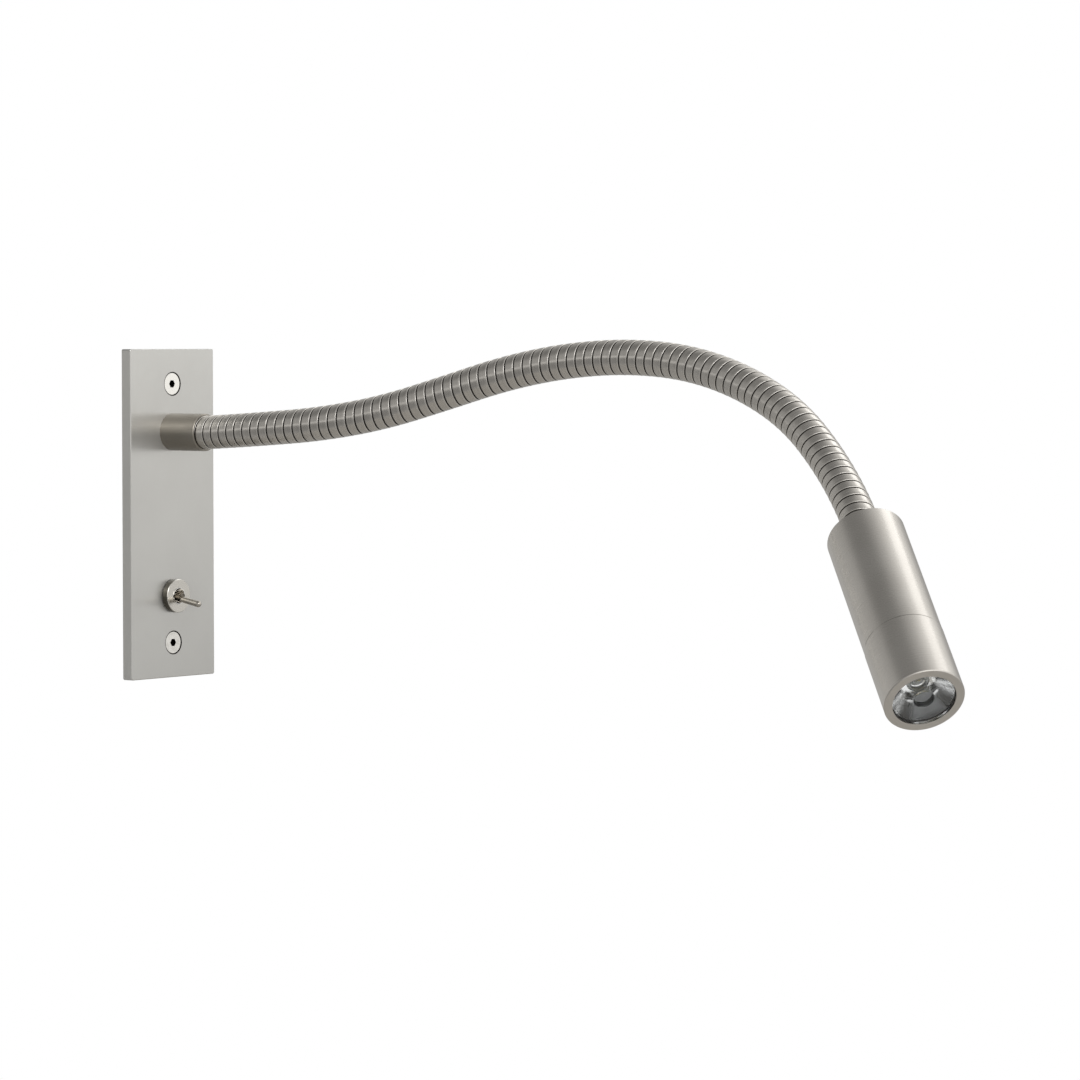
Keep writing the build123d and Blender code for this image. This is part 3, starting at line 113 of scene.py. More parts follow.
class Shader:
    """A node material, with short calls for the nodes it needs."""

    def __init__(self, name, **values):
        self.material = bpy.data.materials.new(name)
        self.material.use_nodes = True
        self.tree = self.material.node_tree
        self.bsdf = next(n for n in self.tree.nodes if n.type == "BSDF_PRINCIPLED")
        for key, value in values.items():
            self.bsdf.inputs[key.replace("_", " ")].default_value = value
        self.coordinates = self.tree.nodes.new("ShaderNodeTexCoord").outputs["Object"]

    def node(self, kind, **settings):
        made = self.tree.nodes.new(kind)
        for key, value in settings.items():
            setattr(made, key, value)
        return made

    def link(self, output, socket):
        self.tree.links.new(output, socket)

    def scaled(self, scale, turn=(0, 0, 0)):
        """Object coordinates, turned and stretched."""
        mapping = self.node("ShaderNodeMapping")
        mapping.inputs["Rotation"].default_value = turn
        mapping.inputs["Scale"].default_value = scale
        self.link(self.coordinates, mapping.inputs["Vector"])
        return mapping.outputs["Vector"]

    def along(self, direction):
        """Distance along a direction."""
        dot = self.node("ShaderNodeVectorMath", operation="DOT_PRODUCT")
        self.link(self.coordinates, dot.inputs[0])
        dot.inputs[1].default_value = direction
        return dot.outputs["Value"]

    def brushed(self, direction):
        """Turn the stretched gloss to a direction that moves with the object."""
        turned = self.node("ShaderNodeVectorTransform", vector_type="VECTOR")
        turned.convert_from, turned.convert_to = "OBJECT", "WORLD"
        turned.inputs["Vector"].default_value = direction
        self.into(turned.outputs["Vector"], "Tangent")

    def noise(self, vector, scale, detail=4.0, roughness=0.55):
        made = self.node("ShaderNodeTexNoise")
        made.inputs["Scale"].default_value = scale
        made.inputs["Detail"].default_value = detail
        made.inputs["Roughness"].default_value = roughness
        self.link(vector, made.inputs["Vector"])
        return made.outputs["Fac"]

    def ranged(self, value, low, high, start=0.25, end=0.75):
        """The value spread from low to high."""
        made = self.node("ShaderNodeMapRange")
        made.inputs["From Min"].default_value = start
        made.inputs["From Max"].default_value = end
        made.inputs["To Min"].default_value = low
        made.inputs["To Max"].default_value = high
        self.link(value, made.inputs["Value"])
        return made.outputs["Result"]

    def ramp(self, value, *stops):
        """Colours along a value: (position, (r, g, b))."""
        made = self.node("ShaderNodeValToRGB")
        elements = made.color_ramp.elements
        while len(elements) < len(stops):
            elements.new(0.5)
        for element, (place, colour) in zip(elements, stops):
            element.position = place
            element.color = (*colour, 1.0)
        self.link(value, made.inputs["Fac"])
        return made.outputs["Color"]

    def product(self, a, b):
        made = self.node("ShaderNodeMath", operation="MULTIPLY")
        self.link(a, made.inputs[0])
        self.link(b, made.inputs[1])
        return made.outputs["Value"]

    def between(self, value, start, end, edge_in, edge_out):
        """1 from start to end, with a soft edge before the one and after the other."""
        rise = self.ranged(value, 0.0, 1.0, start - edge_in, start)
        fall = self.ranged(value, 1.0, 0.0, end, end + edge_out)
        return self.product(rise, fall)

    def darkened(self, colour, share, dark):
        """The colour, with the dark one in its place as far as the share says."""
        mixed = self.node("ShaderNodeMix", data_type="RGBA")
        self.link(share, mixed.inputs["Factor"])
        self.link(colour, mixed.inputs[6])
        mixed.inputs[7].default_value = (*dark, 1.0)
        return mixed.outputs[2]

    def bump(self, height, strength, distance):
        made = self.node("ShaderNodeBump")
        made.inputs["Strength"].default_value = strength
        made.inputs["Distance"].default_value = distance
        self.link(height, made.inputs["Height"])
        self.into(made.outputs["Normal"], "Normal")

    def into(self, output, socket):
        self.link(output, self.bsdf.inputs[socket])


# Depths of the fine relief that the bump nodes show
POLISHED_DEPTH, SATIN_DEPTH, MOULDED_DEPTH = 0.02 * MM, 0.03 * MM, 0.05 * MM


def tone(colour, factor):
    return tuple(min(1.0, c * factor) for c in colour)


def satin_metal(name, colour, roughness, grain, stretch=(1, 1, 1)):
    """Satin nickel: fine grain that shifts the gloss, and a faint cloudiness in the colour."""
    s = Shader(name, Metallic=1.0, Roughness=roughness)
    fine = s.noise(s.scaled(stretch), grain, 3.0, 0.6)
    cloud = s.noise(s.coordinates, 45.0, 3.0, 0.5)
    s.into(s.ranged(fine, roughness - 0.06, roughness + 0.06), "Roughness")
    s.into(s.ramp(cloud, (0.3, tone(colour, 0.95)), (0.7, tone(colour, 1.04))), "Base Color")
    s.bump(fine, 0.12, SATIN_DEPTH)
    return s.material


def wound_metal(name, colour, roughness, anisotropy):
    """Strip brushed along its length: lines that follow the winding, and a gloss across them."""
    s = Shader(name, Metallic=1.0, Roughness=roughness, Anisotropic=anisotropy)
    wind = s.node("ShaderNodeUVMap", uv_map="wind").outputs["UV"]

    def stretched(scale, detail):
        mapping = s.node("ShaderNodeMapping")
        mapping.inputs["Scale"].default_value = scale
        s.link(wind, mapping.inputs["Vector"])
        return s.noise(mapping.outputs["Vector"], 1.0, detail, 0.6)

    lines = stretched((9.0, 1.6, 1.0), 3.0)
    patches = stretched((1.7, 5.0, 1.0), 2.0)
    s.into(s.ranged(lines, roughness - 0.05, roughness + 0.06), "Roughness")
    mixed = s.node("ShaderNodeMix", data_type="RGBA", blend_type="MULTIPLY")
    mixed.inputs["Factor"].default_value = 1.0
    s.link(s.ramp(lines, (0.3, tone(colour, 0.90)), (0.7, tone(colour, 1.05))), mixed.inputs[6])
    s.link(s.ramp(patches, (0.3, (0.93, 0.93, 0.93)), (0.7, (1.0, 1.0, 1.0))), mixed.inputs[7])
    s.into(mixed.outputs[2], "Base Color")
    s.bump(lines, 0.10, POLISHED_DEPTH)
    tangent = s.node("ShaderNodeTangent", direction_type="UV_MAP", uv_map="wind")
    s.into(tangent.outputs["Tangent"], "Tangent")
    return s.material


def bright_metal(name, colour, roughness):
    """Polished plating with a little haze and fine wear."""
    s = Shader(name, Metallic=1.0, Roughness=roughness)
    haze = s.noise(s.coordinates, 700.0, 4.0, 0.6)
    s.into(s.ranged(haze, roughness * 0.6, roughness * 1.5), "Roughness")
    s.into(s.ramp(haze, (0.35, tone(colour, 0.93)), (0.65, tone(colour, 1.03))), "Base Color")
    s.bump(haze, 0.06, POLISHED_DEPTH)
    return s.material


def moulded(name, colour, roughness, grain=1500.0, bump=0.15):
    """Moulded plastic or rubber with a fine spark-eroded grain."""
    s = Shader(name, Roughness=roughness)
    fine = s.noise(s.coordinates, grain, 4.0, 0.6)
    cloud = s.noise(s.coordinates, 120.0, 2.0, 0.5)
    s.into(s.ranged(fine, roughness - 0.08, roughness + 0.08), "Roughness")
    s.into(s.ramp(cloud, (0.3, tone(colour, 0.93)), (0.7, tone(colour, 1.05))), "Base Color")
    s.bump(fine, bump, MOULDED_DEPTH)
    return s.material


# The collar's nickel is coloured about half as bright as the plate's: painted shade.
collar_metal = satin_metal("collar_metal", (0.31, 0.287, 0.253), 0.34, 1800.0, (1.0, 0.1, 1.0))
hose_metal = wound_metal("hose_metal", (0.59, 0.565, 0.53), 0.27, 0.8)
# The rolled edge takes a lighter copy of the hose metal: a painted highlight.
hose_lip = wound_metal("hose_lip", (0.68, 0.655, 0.62), 0.24, 0.3)
# The gap between turns, and the bore, are coloured near-black: painted shade in the groove.
hose_gap = moulded("hose_gap", (0.022, 0.019, 0.016), 0.7)
chrome = bright_metal("chrome", (0.86, 0.845, 0.82), 0.08)
lever_metal = bright_metal("lever_metal", (0.42, 0.395, 0.355), 0.12)
zinc = bright_metal("zinc", (0.62, 0.64, 0.66), 0.26)
brass = bright_metal("brass", (0.70, 0.52, 0.24), 0.24)
silver = bright_metal("silver", (0.78, 0.77, 0.72), 0.2)
core_metal = satin_metal("core_metal", (0.40, 0.39, 0.37), 0.4, 900.0)
sink_metal = satin_metal("sink_metal", (0.62, 0.63, 0.64), 0.34, 1200.0)
white_plastic = moulded("white_plastic", (0.80, 0.80, 0.77), 0.45)
blue_plastic = moulded("blue_plastic", (0.05, 0.08, 0.20), 0.4)
green_plastic = moulded("green_plastic", (0.05, 0.26, 0.11), 0.35)
pale_plastic = moulded("pale_plastic", (0.75, 0.75, 0.72), 0.4)
black_plastic = moulded("black_plastic", (0.022, 0.022, 0.022), 0.38)
black_rubber = moulded("black_rubber", (0.02, 0.02, 0.02), 0.65, 900.0, 0.25)
grey_pad = moulded("grey_pad", (0.38, 0.40, 0.43), 0.7, 900.0, 0.25)
can_sleeve = moulded("can_sleeve", (0.03, 0.035, 0.06), 0.3)
holder_grey = satin_metal("holder_grey", (0.34, 0.34, 0.345), 0.34, 1500.0)
mask_white = moulded("mask_white", (0.82, 0.82, 0.80), 0.3, 2400.0, 0.08)

# Places that the materials of the CAD nodes follow
PLATE_FRONT = -5.0 * MM
SCREW_PLACE = 54.0 * MM
# the second radius is where the painted shade of the gap round each screw head ends
HEAD_RADIUS, GAP_SHADE_RADIUS = 4.50 * MM, 4.95 * MM
SOCKET_RADIUS = 1.72 * MM
SEAM_PLACE, SEAM_HALF_WIDTH = 58.5 * MM, 0.12 * MM
LENS_PLACE = 86.9 * MM


def off_screw_axis(s):
    """Distance from the nearer screw's axis (they lie alike above and below the middle), and y."""
    split = s.node("ShaderNodeSeparateXYZ")
    s.link(s.coordinates, split.inputs[0])
    level = s.node("ShaderNodeMath", operation="ABSOLUTE")
    s.link(split.outputs["Z"], level.inputs[0])
    height = s.node("ShaderNodeMath", operation="SUBTRACT")
    s.link(level.outputs[0], height.inputs[0])
    height.inputs[1].default_value = SCREW_PLACE
    flat = s.node("ShaderNodeCombineXYZ")
    s.link(split.outputs["X"], flat.inputs["X"])
    s.link(height.outputs[0], flat.inputs["Y"])
    length = s.node("ShaderNodeVectorMath", operation="LENGTH")
    s.link(flat.outputs[0], length.inputs[0])
    return length.outputs["Value"], split.outputs["Y"]


def brushed_plate():
    """Satin plate brushed from top to bottom, with a dark ring of painted shade round each sunk
    screw head, where the gap to its countersink lies.
    """
    s = Shader("plate_metal", Metallic=1.0, Roughness=0.37, Anisotropic=0.9)
    s.brushed((1, 0, 0))
    lines = s.noise(s.scaled((1.0, 1.0, 0.05)), 2200.0, 3.0, 0.6)
    cloud = s.noise(s.coordinates, 28.0, 3.0, 0.5)
    s.into(s.ranged(lines, 0.33, 0.41), "Roughness")
    satin = s.ramp(cloud, (0.3, (0.605, 0.598, 0.578)), (0.7, (0.645, 0.64, 0.618)))
    distance, depth = off_screw_axis(s)
    # painted shade: a near-black ring in the gap between each screw head and its countersink, on
    # the plate's front only
    ring = s.between(distance, HEAD_RADIUS, GAP_SHADE_RADIUS, 0.08 * MM, 0.10 * MM)
    in_front = s.ranged(depth, 1.0, 0.0, PLATE_FRONT + 1.0 * MM, PLATE_FRONT + 1.5 * MM)
    s.into(s.darkened(satin, s.product(ring, in_front), (0.012, 0.010, 0.009)), "Base Color")
    s.bump(lines, 0.10, SATIN_DEPTH)
    return s.material


def socket_screw():
    """Polished countersunk screw, with painted shade inside its hex socket."""
    s = Shader("screw_metal", Metallic=1.0, Roughness=0.2)
    haze = s.noise(s.coordinates, 700.0, 4.0, 0.6)
    s.into(s.ranged(haze, 0.14, 0.28), "Roughness")
    polished = s.ramp(haze, (0.35, (0.80, 0.785, 0.745)), (0.65, (0.87, 0.855, 0.82)))
    distance, depth = off_screw_axis(s)
    inside = s.ranged(distance, 1.0, 0.0, SOCKET_RADIUS, SOCKET_RADIUS + 0.08 * MM)
    below = s.ranged(depth, 0.0, 1.0, PLATE_FRONT + 0.28 * MM, PLATE_FRONT + 0.50 * MM)
    # painted shade: the socket's walls and floor are coloured near-black
    s.into(s.darkened(polished, s.product(inside, below), (0.03, 0.027, 0.025)), "Base Color")
    s.bump(haze, 0.06, POLISHED_DEPTH)
    return s.material


def turned_nut():
    """Satin dress nut: turned face, with painted shade on its side, which is coloured much darker
    than the face.
    """
    s = Shader("nut_metal", Metallic=1.0, Roughness=0.24)
    fine = s.noise(s.coordinates, 1500.0, 3.0, 0.6)
    s.into(s.ranged(fine, 0.18, 0.30), "Roughness")
    split = s.node("ShaderNodeSeparateXYZ")
    s.link(s.node("ShaderNodeTexCoord").outputs["Normal"], split.inputs[0])
    facing = s.node("ShaderNodeMath", operation="ABSOLUTE")
    s.link(split.outputs["Y"], facing.inputs[0])
    # painted shade: faces that don't look along the nut's axis get the dark colour
    rim, face = (0.13, 0.122, 0.105), (0.60, 0.58, 0.54)
    s.into(s.ramp(facing.outputs[0], (0.25, rim), (0.6, face)), "Base Color")
    s.bump(fine, 0.10, SATIN_DEPTH)
    return s.material


def head_metal():
    """Turned satin nickel: fine rings round the head's own axis."""
    s = Shader("head_metal", Metallic=1.0, Roughness=0.3, Anisotropic=0.6)
    s.brushed(head_direction)
    place = s.along(head_direction)
    rings = s.node("ShaderNodeTexNoise", noise_dimensions="1D")
    rings.inputs["Scale"].default_value = 5200.0
    rings.inputs["Detail"].default_value = 3.0
    s.link(place, rings.inputs["W"])
    cloud = s.noise(s.coordinates, 60.0, 3.0, 0.5)
    s.into(s.ranged(rings.outputs["Fac"], 0.26, 0.33), "Roughness")
    satin = s.ramp(cloud, (0.3, (0.575, 0.55, 0.515)), (0.7, (0.62, 0.595, 0.56)))
    # painted shade: a dark line in the seam of the front ring, with gaps in it
    seam = float(head_rear @ head_axis) + SEAM_PLACE
    soft = 0.18 * MM
    line = s.between(place, seam - SEAM_HALF_WIDTH, seam + SEAM_HALF_WIDTH, soft, soft)
    broken = s.ranged(s.noise(s.coordinates, 95.0, 1.0, 0.5), 0.05, 0.90, 0.45, 0.62)
    s.into(s.darkened(satin, s.product(line, broken), (0.06, 0.05, 0.04)), "Base Color")
    s.bump(rings.outputs["Fac"], 0.05, POLISHED_DEPTH)
    return s.material


def clear_lens():
    """Clear moulded lens: polished front face, faintly frosted cup behind it."""
    clear = (0.97, 0.985, 0.98, 1.0)
    s = Shader("clear_lens", IOR=1.49, Base_Color=clear, Transmission_Weight=1.0)
    marks = s.noise(s.coordinates, 260.0, 2.0, 0.5)
    front = float(head_rear @ head_axis) + LENS_PLACE
    frosted = s.ranged(s.along(head_direction), 0.16, 0.01, front - 0.6 * MM, front - 0.3 * MM)
    s.into(frosted, "Roughness")
    s.bump(marks, 0.04, SATIN_DEPTH)
    return s.material


def phosphor():
    """Yellow phosphor under a clear dome."""
    s = Shader("phosphor", Roughness=0.25, Coat_Weight=1.0, Coat_Roughness=0.03)
    grain = s.noise(s.coordinates, 4200.0, 3.0, 0.6)
    s.into(s.ramp(grain, (0.3, (0.72, 0.55, 0.10)), (0.7, (0.86, 0.70, 0.18))), "Base Color")
    return s.material


def board_green():
    """Solder mask with faint tracks."""
    s = Shader("board_green", Roughness=0.3)
    tracks = s.node("ShaderNodeTexBrick")
    tracks.inputs["Scale"].default_value = 260.0
    tracks.inputs["Color1"].default_value = (0.02, 0.16, 0.07, 1)
    tracks.inputs["Color2"].default_value = (0.025, 0.20, 0.09, 1)
    tracks.inputs["Mortar"].default_value = (0.04, 0.27, 0.12, 1)
    s.link(s.scaled((1, 1, 1), (math.pi / 2, 0, 0)), tracks.inputs["Vector"])
    s.into(tracks.outputs["Color"], "Base Color")
    s.into(s.ranged(s.noise(s.coordinates, 900.0), 0.24, 0.38), "Roughness")
    return s.material


def wound_tape():
    """Yellow tape over a winding."""
    s = Shader("wound_tape", Roughness=0.3)
    wave = s.node("ShaderNodeTexWave", bands_direction="Y")
    wave.inputs["Scale"].default_value = 180.0
    wave.inputs["Distortion"].default_value = 1.5
    s.link(s.coordinates, wave.inputs["Vector"])
    shade, light = (0.62, 0.42, 0.05), (0.76, 0.54, 0.09)
    s.into(s.ramp(wave.outputs["Fac"], (0.0, shade), (1.0, light)), "Base Color")
    s.bump(wave.outputs["Fac"], 0.2, 0.1 * MM)
    return s.material


# ---------------------------------------------------------------- neck centreline

hinge_joints = [j for j in frame["joints"] if j["name"].startswith("neck_")]
hinges = [np.array(j["pos_m"]) for j in hinge_joints]
# The bodies from the wall unit to the head
chain = [hinge_joints[0]["parent"]] + [j["child"] for j in hinge_joints]

TURN = 4.18 * MM  # one turn of the strip
TURNS = 7  # to a link
PIECE_START = -3  # the turn where the first piece of hose starts; the others follow link by link
OUTWARD = np.array([0.0, -1.0, 0.0])
ROOT = np.array([0.0, -5.0, 34.0]) * MM
FIRST_TURN = 18.5 * MM
MOUTH = 18.9 * MM
# Where core and lead start, counted from the first turn, and how far the core runs into the head
CORE_START, CORE_PAST_HEAD = -17.3 * MM, 2 * MM
LEAD_START = -18.4 * MM
CORE_OUTER, CORE_INNER = 3.7 * MM, 2.3 * MM
LEAD_RADIUS = 1.6 * MM
BEND_STEPS = 48
LINE_STEP = TURN / 24
LINE_BEFORE, LINE_PAST = 20 * MM, 14 * MM


def unit(v):
    return v / np.linalg.norm(v)


low, high = (np.array(c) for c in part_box("head_bezel"))
head_centre = (low + high) / 2
head_direction = tuple(unit(head_centre - hinges[-1]))
links = [unit(b - a) for a, b in zip(hinges, hinges[1:])]
directions = [OUTWARD] + links + [np.array(head_direction)]
# Where the bends meet: the collar's mouth, halfway between the hinges, and the rear of the head
middles = [h + d * TURN * TURNS / 2 for h, d in zip(hinges, directions[1:])]
middles.insert(0, ROOT + OUTWARD * MOUTH)
stations = [(k * TURNS + (TURNS + 1) / 2) * TURN for k in range(len(hinges))]
stations.insert(0, MOUTH - FIRST_TURN)


def bend(k, t):
    a, b, c = middles[k], hinges[k], middles[k + 1]
    return (1 - t) ** 2 * a + 2 * t * (1 - t) * b + t**2 * c


SPLITS = np.linspace(0, 1, BEND_STEPS + 1)
ARCS = []
for k in range(len(hinges)):
    steps = [np.linalg.norm(bend(k, b) - bend(k, a)) for a, b in zip(SPLITS, SPLITS[1:])]
    ARCS.append(np.concatenate([[0.0], np.cumsum(steps)]) / sum(steps))


def centre(s):
    """Point and direction of the neck's centreline, at a distance past its first turn."""
    if s <= stations[0]:
        return middles[0] + directions[0] * (s - stations[0]), directions[0]
    if s >= stations[-1]:
        return middles[-1] + directions[-1] * (s - stations[-1]), directions[-1]
    k = next(i for i in range(len(hinges)) if s <= stations[i + 1])
    share = (s - stations[k]) / (stations[k + 1] - stations[k])
    t = float(np.interp(share, ARCS[k], SPLITS))
    a, b, c = middles[k], hinges[k], middles[k + 1]
    return bend(k, t), unit((1 - t) * (b - a) + t * (c - b))


class Line:
    """The neck's centreline with a frame that doesn't twist."""

    def __init__(self, start, end):
        count = int((end - start) / LINE_STEP) + 2
        self.s = np.linspace(start, end, count)
        points, tangents = zip(*[centre(s) for s in self.s])
        self.points, self.tangents = np.array(points), np.array(tangents)
        up = np.array([0.0, 0.0, 1.0])
        normal = unit(up - self.tangents[0] * (up @ self.tangents[0]))
        normals = [normal]
        for tangent in self.tangents[1:]:
            normal = unit(normal - tangent * (normal @ tangent))
            normals.append(normal)
        self.normals = np.array(normals)
        self.sides = np.cross(self.normals, self.tangents)

    def at(self, s, angle, radius):
        """Points of the surface; angle 0 is up and a quarter turn is towards +X."""

        def pick(values):
            return np.stack([np.interp(s, self.s, values[:, i]) for i in range(3)], axis=-1)

        up, side = np.cos(angle)[..., None], np.sin(angle)[..., None]
        around = pick(self.normals) * up + pick(self.sides) * side
        return pick(self.points) + around * np.asarray(radius)[..., None]


neck_line = Line(-LINE_BEFORE, stations[-1] + LINE_PAST)

# The strip's section along one turn, as (share of the turn, radius in mm, material from there on):
# a flat band, a crease, the rolled edge on the head's side, and the gap to the next turn
# the gap rows take the near-black colour, painted shade
# the lip rows take the lighter copy of the metal, a painted highlight
METAL, LIP, GAP = 0, 1, 2
STRIP = [
    (0.000, 6.55, GAP),
    (0.078, 6.55, GAP),
    (0.090, 6.76, METAL),
    (0.110, 6.88, METAL),
    (0.145, 6.915, METAL),
    (0.300, 6.925, METAL),
    (0.550, 6.935, METAL),
    (0.790, 6.940, METAL),
    (0.822, 6.915, LIP),
    (0.840, 6.955, LIP),
    (0.862, 6.990, LIP),
    (0.884, 7.000, LIP),
    (0.906, 6.985, LIP),
    (0.926, 6.930, LIP),
    (0.938, 6.840, LIP),
    (0.943, 6.700, GAP),
    (0.947, 6.550, GAP),
]
AROUND = 80
BORE_ROWS = 2  # to a turn
HOSE_BORE_RADIUS = 6.1 * MM
CUT_ANGLE = math.pi / 4  # the cuts across the strip lie between up and +X
SHARP_DEGREES, TUBE_SHARP_DEGREES = 32, 40
TUBE_SIDES = 24


def mesh_object(name, verts, faces, materials, sharp, indices=None, wind=None):
    """A smooth mesh with its sharp edges marked; wind is its UV map along the strip."""
    mesh = bpy.data.meshes.new(name)
    mesh.from_pydata([tuple(v) for v in verts], [], faces)
    if wind is not None:
        mesh.uv_layers.new(name="wind").data.foreach_set("uv", [c for place in wind for c in place])
    for m in materials:
        mesh.materials.append(m)
    if indices is not None:
        mesh.polygons.foreach_set("material_index", indices)
    mesh.polygons.foreach_set("use_smooth", [True] * len(mesh.polygons))
    mesh.set_sharp_from_angle(angle=math.radians(sharp))
    mesh.validate()
    obj = bpy.data.objects.new(name, mesh)
    bpy.context.scene.collection.objects.link(obj)
    return obj


def wound_piece(name, first_turn, turns):
    """A closed length of strip-wound hose, a whole number of turns; its ends lie in the gap."""
    rows = len(STRIP)
    count = rows * turns + 1
    share = np.array([first_turn + i // rows + STRIP[i % rows][0] for i in range(count)])
    radius = np.array([STRIP[i % rows][1] * MM for i in range(count)])
    angles = CUT_ANGLE + np.arange(AROUND) * 2 * math.pi / AROUND
    lead = np.arange(AROUND) / AROUND - 0.5
    s = (share[:, None] + lead[None, :]) * TURN
    a = np.broadcast_to(angles[None, :], s.shape)
    outer = neck_line.at(s, a, np.broadcast_to(radius[:, None], s.shape))
    inner_share = np.array([first_turn + i / BORE_ROWS for i in range(BORE_ROWS * turns + 1)])
    s = (inner_share[:, None] + lead[None, :]) * TURN
    a = np.broadcast_to(angles[None, :], s.shape)
    inner = neck_line.at(s, a, np.full(s.shape, HOSE_BORE_RADIUS))
    verts = np.concatenate([outer.reshape(-1, 3), inner.reshape(-1, 3)])
    n_outer = count * AROUND
    icount = len(inner_share)

    def vo(i, j):
        """A vertex outside; past the last column comes the first one, a turn further on."""
        if j == AROUND:
            i, j = i + rows, 0
        return i * AROUND + j

    def vi(i, j):
        """The same in the bore."""
        if j == AROUND:
            i, j = i + BORE_ROWS, 0
        return n_outer + i * AROUND + j

    faces, index, wind = [], [], []

    def add(corners, places, material):
        """A face, with its places across the turns and along the strip."""
        faces.append(corners)
        wind.extend(places)
        index.append(material)

    def turn_at(shares, i, j):
        return (float(shares[i]), j / AROUND)

    for i in range(count - 1):
        for j in range(AROUND):
            if j == AROUND - 1 and i + 1 + rows > count - 1:
                continue
            ring = [(i, j), (i, j + 1), (i + 1, j + 1), (i + 1, j)]
            material = STRIP[i % rows][2]
            add(tuple(vo(*c) for c in ring), [turn_at(share, *c) for c in ring], material)
    for i in range(icount - 1):
        for j in range(AROUND):
            if j == AROUND - 1 and i + 1 + BORE_ROWS > icount - 1:
                continue
            ring = [(i, j), (i + 1, j), (i + 1, j + 1), (i, j + 1)]
            add(tuple(vi(*c) for c in ring), [turn_at(inner_share, *c) for c in ring], GAP)
    # the helical ends, which join the outside to the bore
    last, ilast = count - 1, icount - 1
    for j in range(AROUND):
        corners = (vo(0, j), vi(0, j), vi(0, j + 1), vo(0, j + 1))
        add(corners, [turn_at(share, 0, j + k) for k in (0, 0, 1, 1)], GAP)
        if j < AROUND - 1:
            corners = (vo(last, j), vo(last, j + 1), vi(ilast, j + 1), vi(ilast, j))
            add(corners, [turn_at(share, last, j + k) for k in (0, 1, 1, 0)], GAP)
    # cuts across the strip at the start and at the end
    start_cut = [vo(i, 0) for i in range(rows + 1)]
    start_cut += [vi(i, 0) for i in reversed(range(BORE_ROWS + 1))]
    add(tuple(start_cut), [(0.0, 0.0)] * len(start_cut), GAP)
    base, ibase = last - rows, ilast - BORE_ROWS
    end_cut = [vo(base + i, AROUND - 1) for i in range(rows + 1)]
    end_cut += [vi(ibase + i, AROUND - 1) for i in reversed(range(BORE_ROWS + 1))]
    add(tuple(reversed(end_cut)), [(0.0, 0.0)] * len(end_cut), GAP)
    materials = [hose_metal, hose_lip, hose_gap]
    return mesh_object(name, verts, faces, materials, SHARP_DEGREES, index, wind)


def neck_piece(obj, k, slot_name, *replaced):
    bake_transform(obj)
    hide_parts(*replaced)


def tube(name, s0, s1, outer, inner, material):
    """A plain closed tube (or rod, with inner 0) along the neck's centreline."""
    count = max(2, int(round((s1 - s0) / TURN)) + 1)
    s = np.linspace(s0, s1, count)
    angles = np.arange(TUBE_SIDES) * 2 * math.pi / TUBE_SIDES
    grid_s = np.repeat(s[:, None], TUBE_SIDES, axis=1)
    grid_a = np.repeat(angles[None, :], count, axis=0)
    verts = neck_line.at(grid_s, grid_a, np.full(grid_s.shape, outer)).reshape(-1, 3)

    def wall(first_vert):
        """Four corners for each step along and each side round."""
        for i in range(count - 1):
            near, far = first_vert + i * TUBE_SIDES, first_vert + (i + 1) * TUBE_SIDES
            for j in range(TUBE_SIDES):
                k = (j + 1) % TUBE_SIDES
                yield near + j, near + k, far + k, far + j

    faces = list(wall(0))
    last = (count - 1) * TUBE_SIDES
    if inner > 0:
        n = len(verts)
        bore = neck_line.at(grid_s, grid_a, np.full(grid_s.shape, inner)).reshape(-1, 3)
        verts = np.concatenate([verts, bore])
        faces += [(a, d, c, b) for a, b, c, d in wall(n)]
        for j in range(TUBE_SIDES):
            k = (j + 1) % TUBE_SIDES
            faces.append((j, n + j, n + k, k))
            faces.append((last + j, last + k, n + last + k, n + last + j))
    else:
        faces.append(tuple(reversed(range(TUBE_SIDES))))
        faces.append(tuple(range(last, last + TUBE_SIDES)))
    return mesh_object(name, verts, faces, [material], TUBE_SHARP_DEGREES)


for k in range(len(hinges)):
    opening, closing = k == 0, k == len(hinges) - 1
    number = f"{k + 1:02d}"
    replaced = [f"neck_hose_{number}"] + (["neck_hose_00"] if opening else [])
    hose = wound_piece(f"hose_{number}", PIECE_START + k * TURNS, TURNS + (1 if closing else 0))
    neck_piece(hose, k, "hose_nickel", *replaced)
    start = CORE_START if opening else stations[k]
    end = stations[k + 1] + (CORE_PAST_HEAD if closing else 0)
    core = tube(f"core_{number}", start, end, CORE_OUTER, CORE_INNER, core_metal)
    neck_piece(core, k, "core_steel", "neck_core")
    start = LEAD_START if opening else stations[k]
    lead = tube(f"lead_{number}", start, stations[k + 1], LEAD_RADIUS, 0, black_plastic)
    neck_piece(lead, k, "lead_black", "lamp_lead")


def lead_curve(name, points, body):
    """A length of lead on a smooth spline along its route."""
    data = bpy.data.curves.new(name, "CURVE")
    data.dimensions = "3D"
    data.bevel_depth = LEAD_RADIUS
    data.bevel_resolution = 6
    data.use_fill_caps = True
    spline = data.splines.new("NURBS")
    spline.points.add(len(points) - 1)
    for point, place in zip(spline.points, points):
        point.co = (*place, 1.0)
    spline.order_u = 3
    spline.use_endpoint_u = True
    spline.resolution_u = 16
    data.materials.append(black_plastic)
    obj = bpy.data.objects.new(name, data)
    bpy.context.scene.collection.objects.link(obj)
    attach(obj, body)
    return obj


driver_top, elbow = (0, 0.018, 0.008), (0, 0.018, 0.034)
halfway, in_nipple = (0, 0.018, 0.021), (0, 0.004, 0.034)
neck_start = tuple(centre(LEAD_START)[0])
drop = lead_curve("lead_drop", [driver_top, halfway, elbow, in_nipple, neck_start], chain[0])
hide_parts("lamp_lead")

head_axis = np.array(head_direction)
head_side = unit(np.cross(head_axis, [0, 0, 1]))
head_down = np.cross(head_axis, head_side)
head_rear = middles[-1]


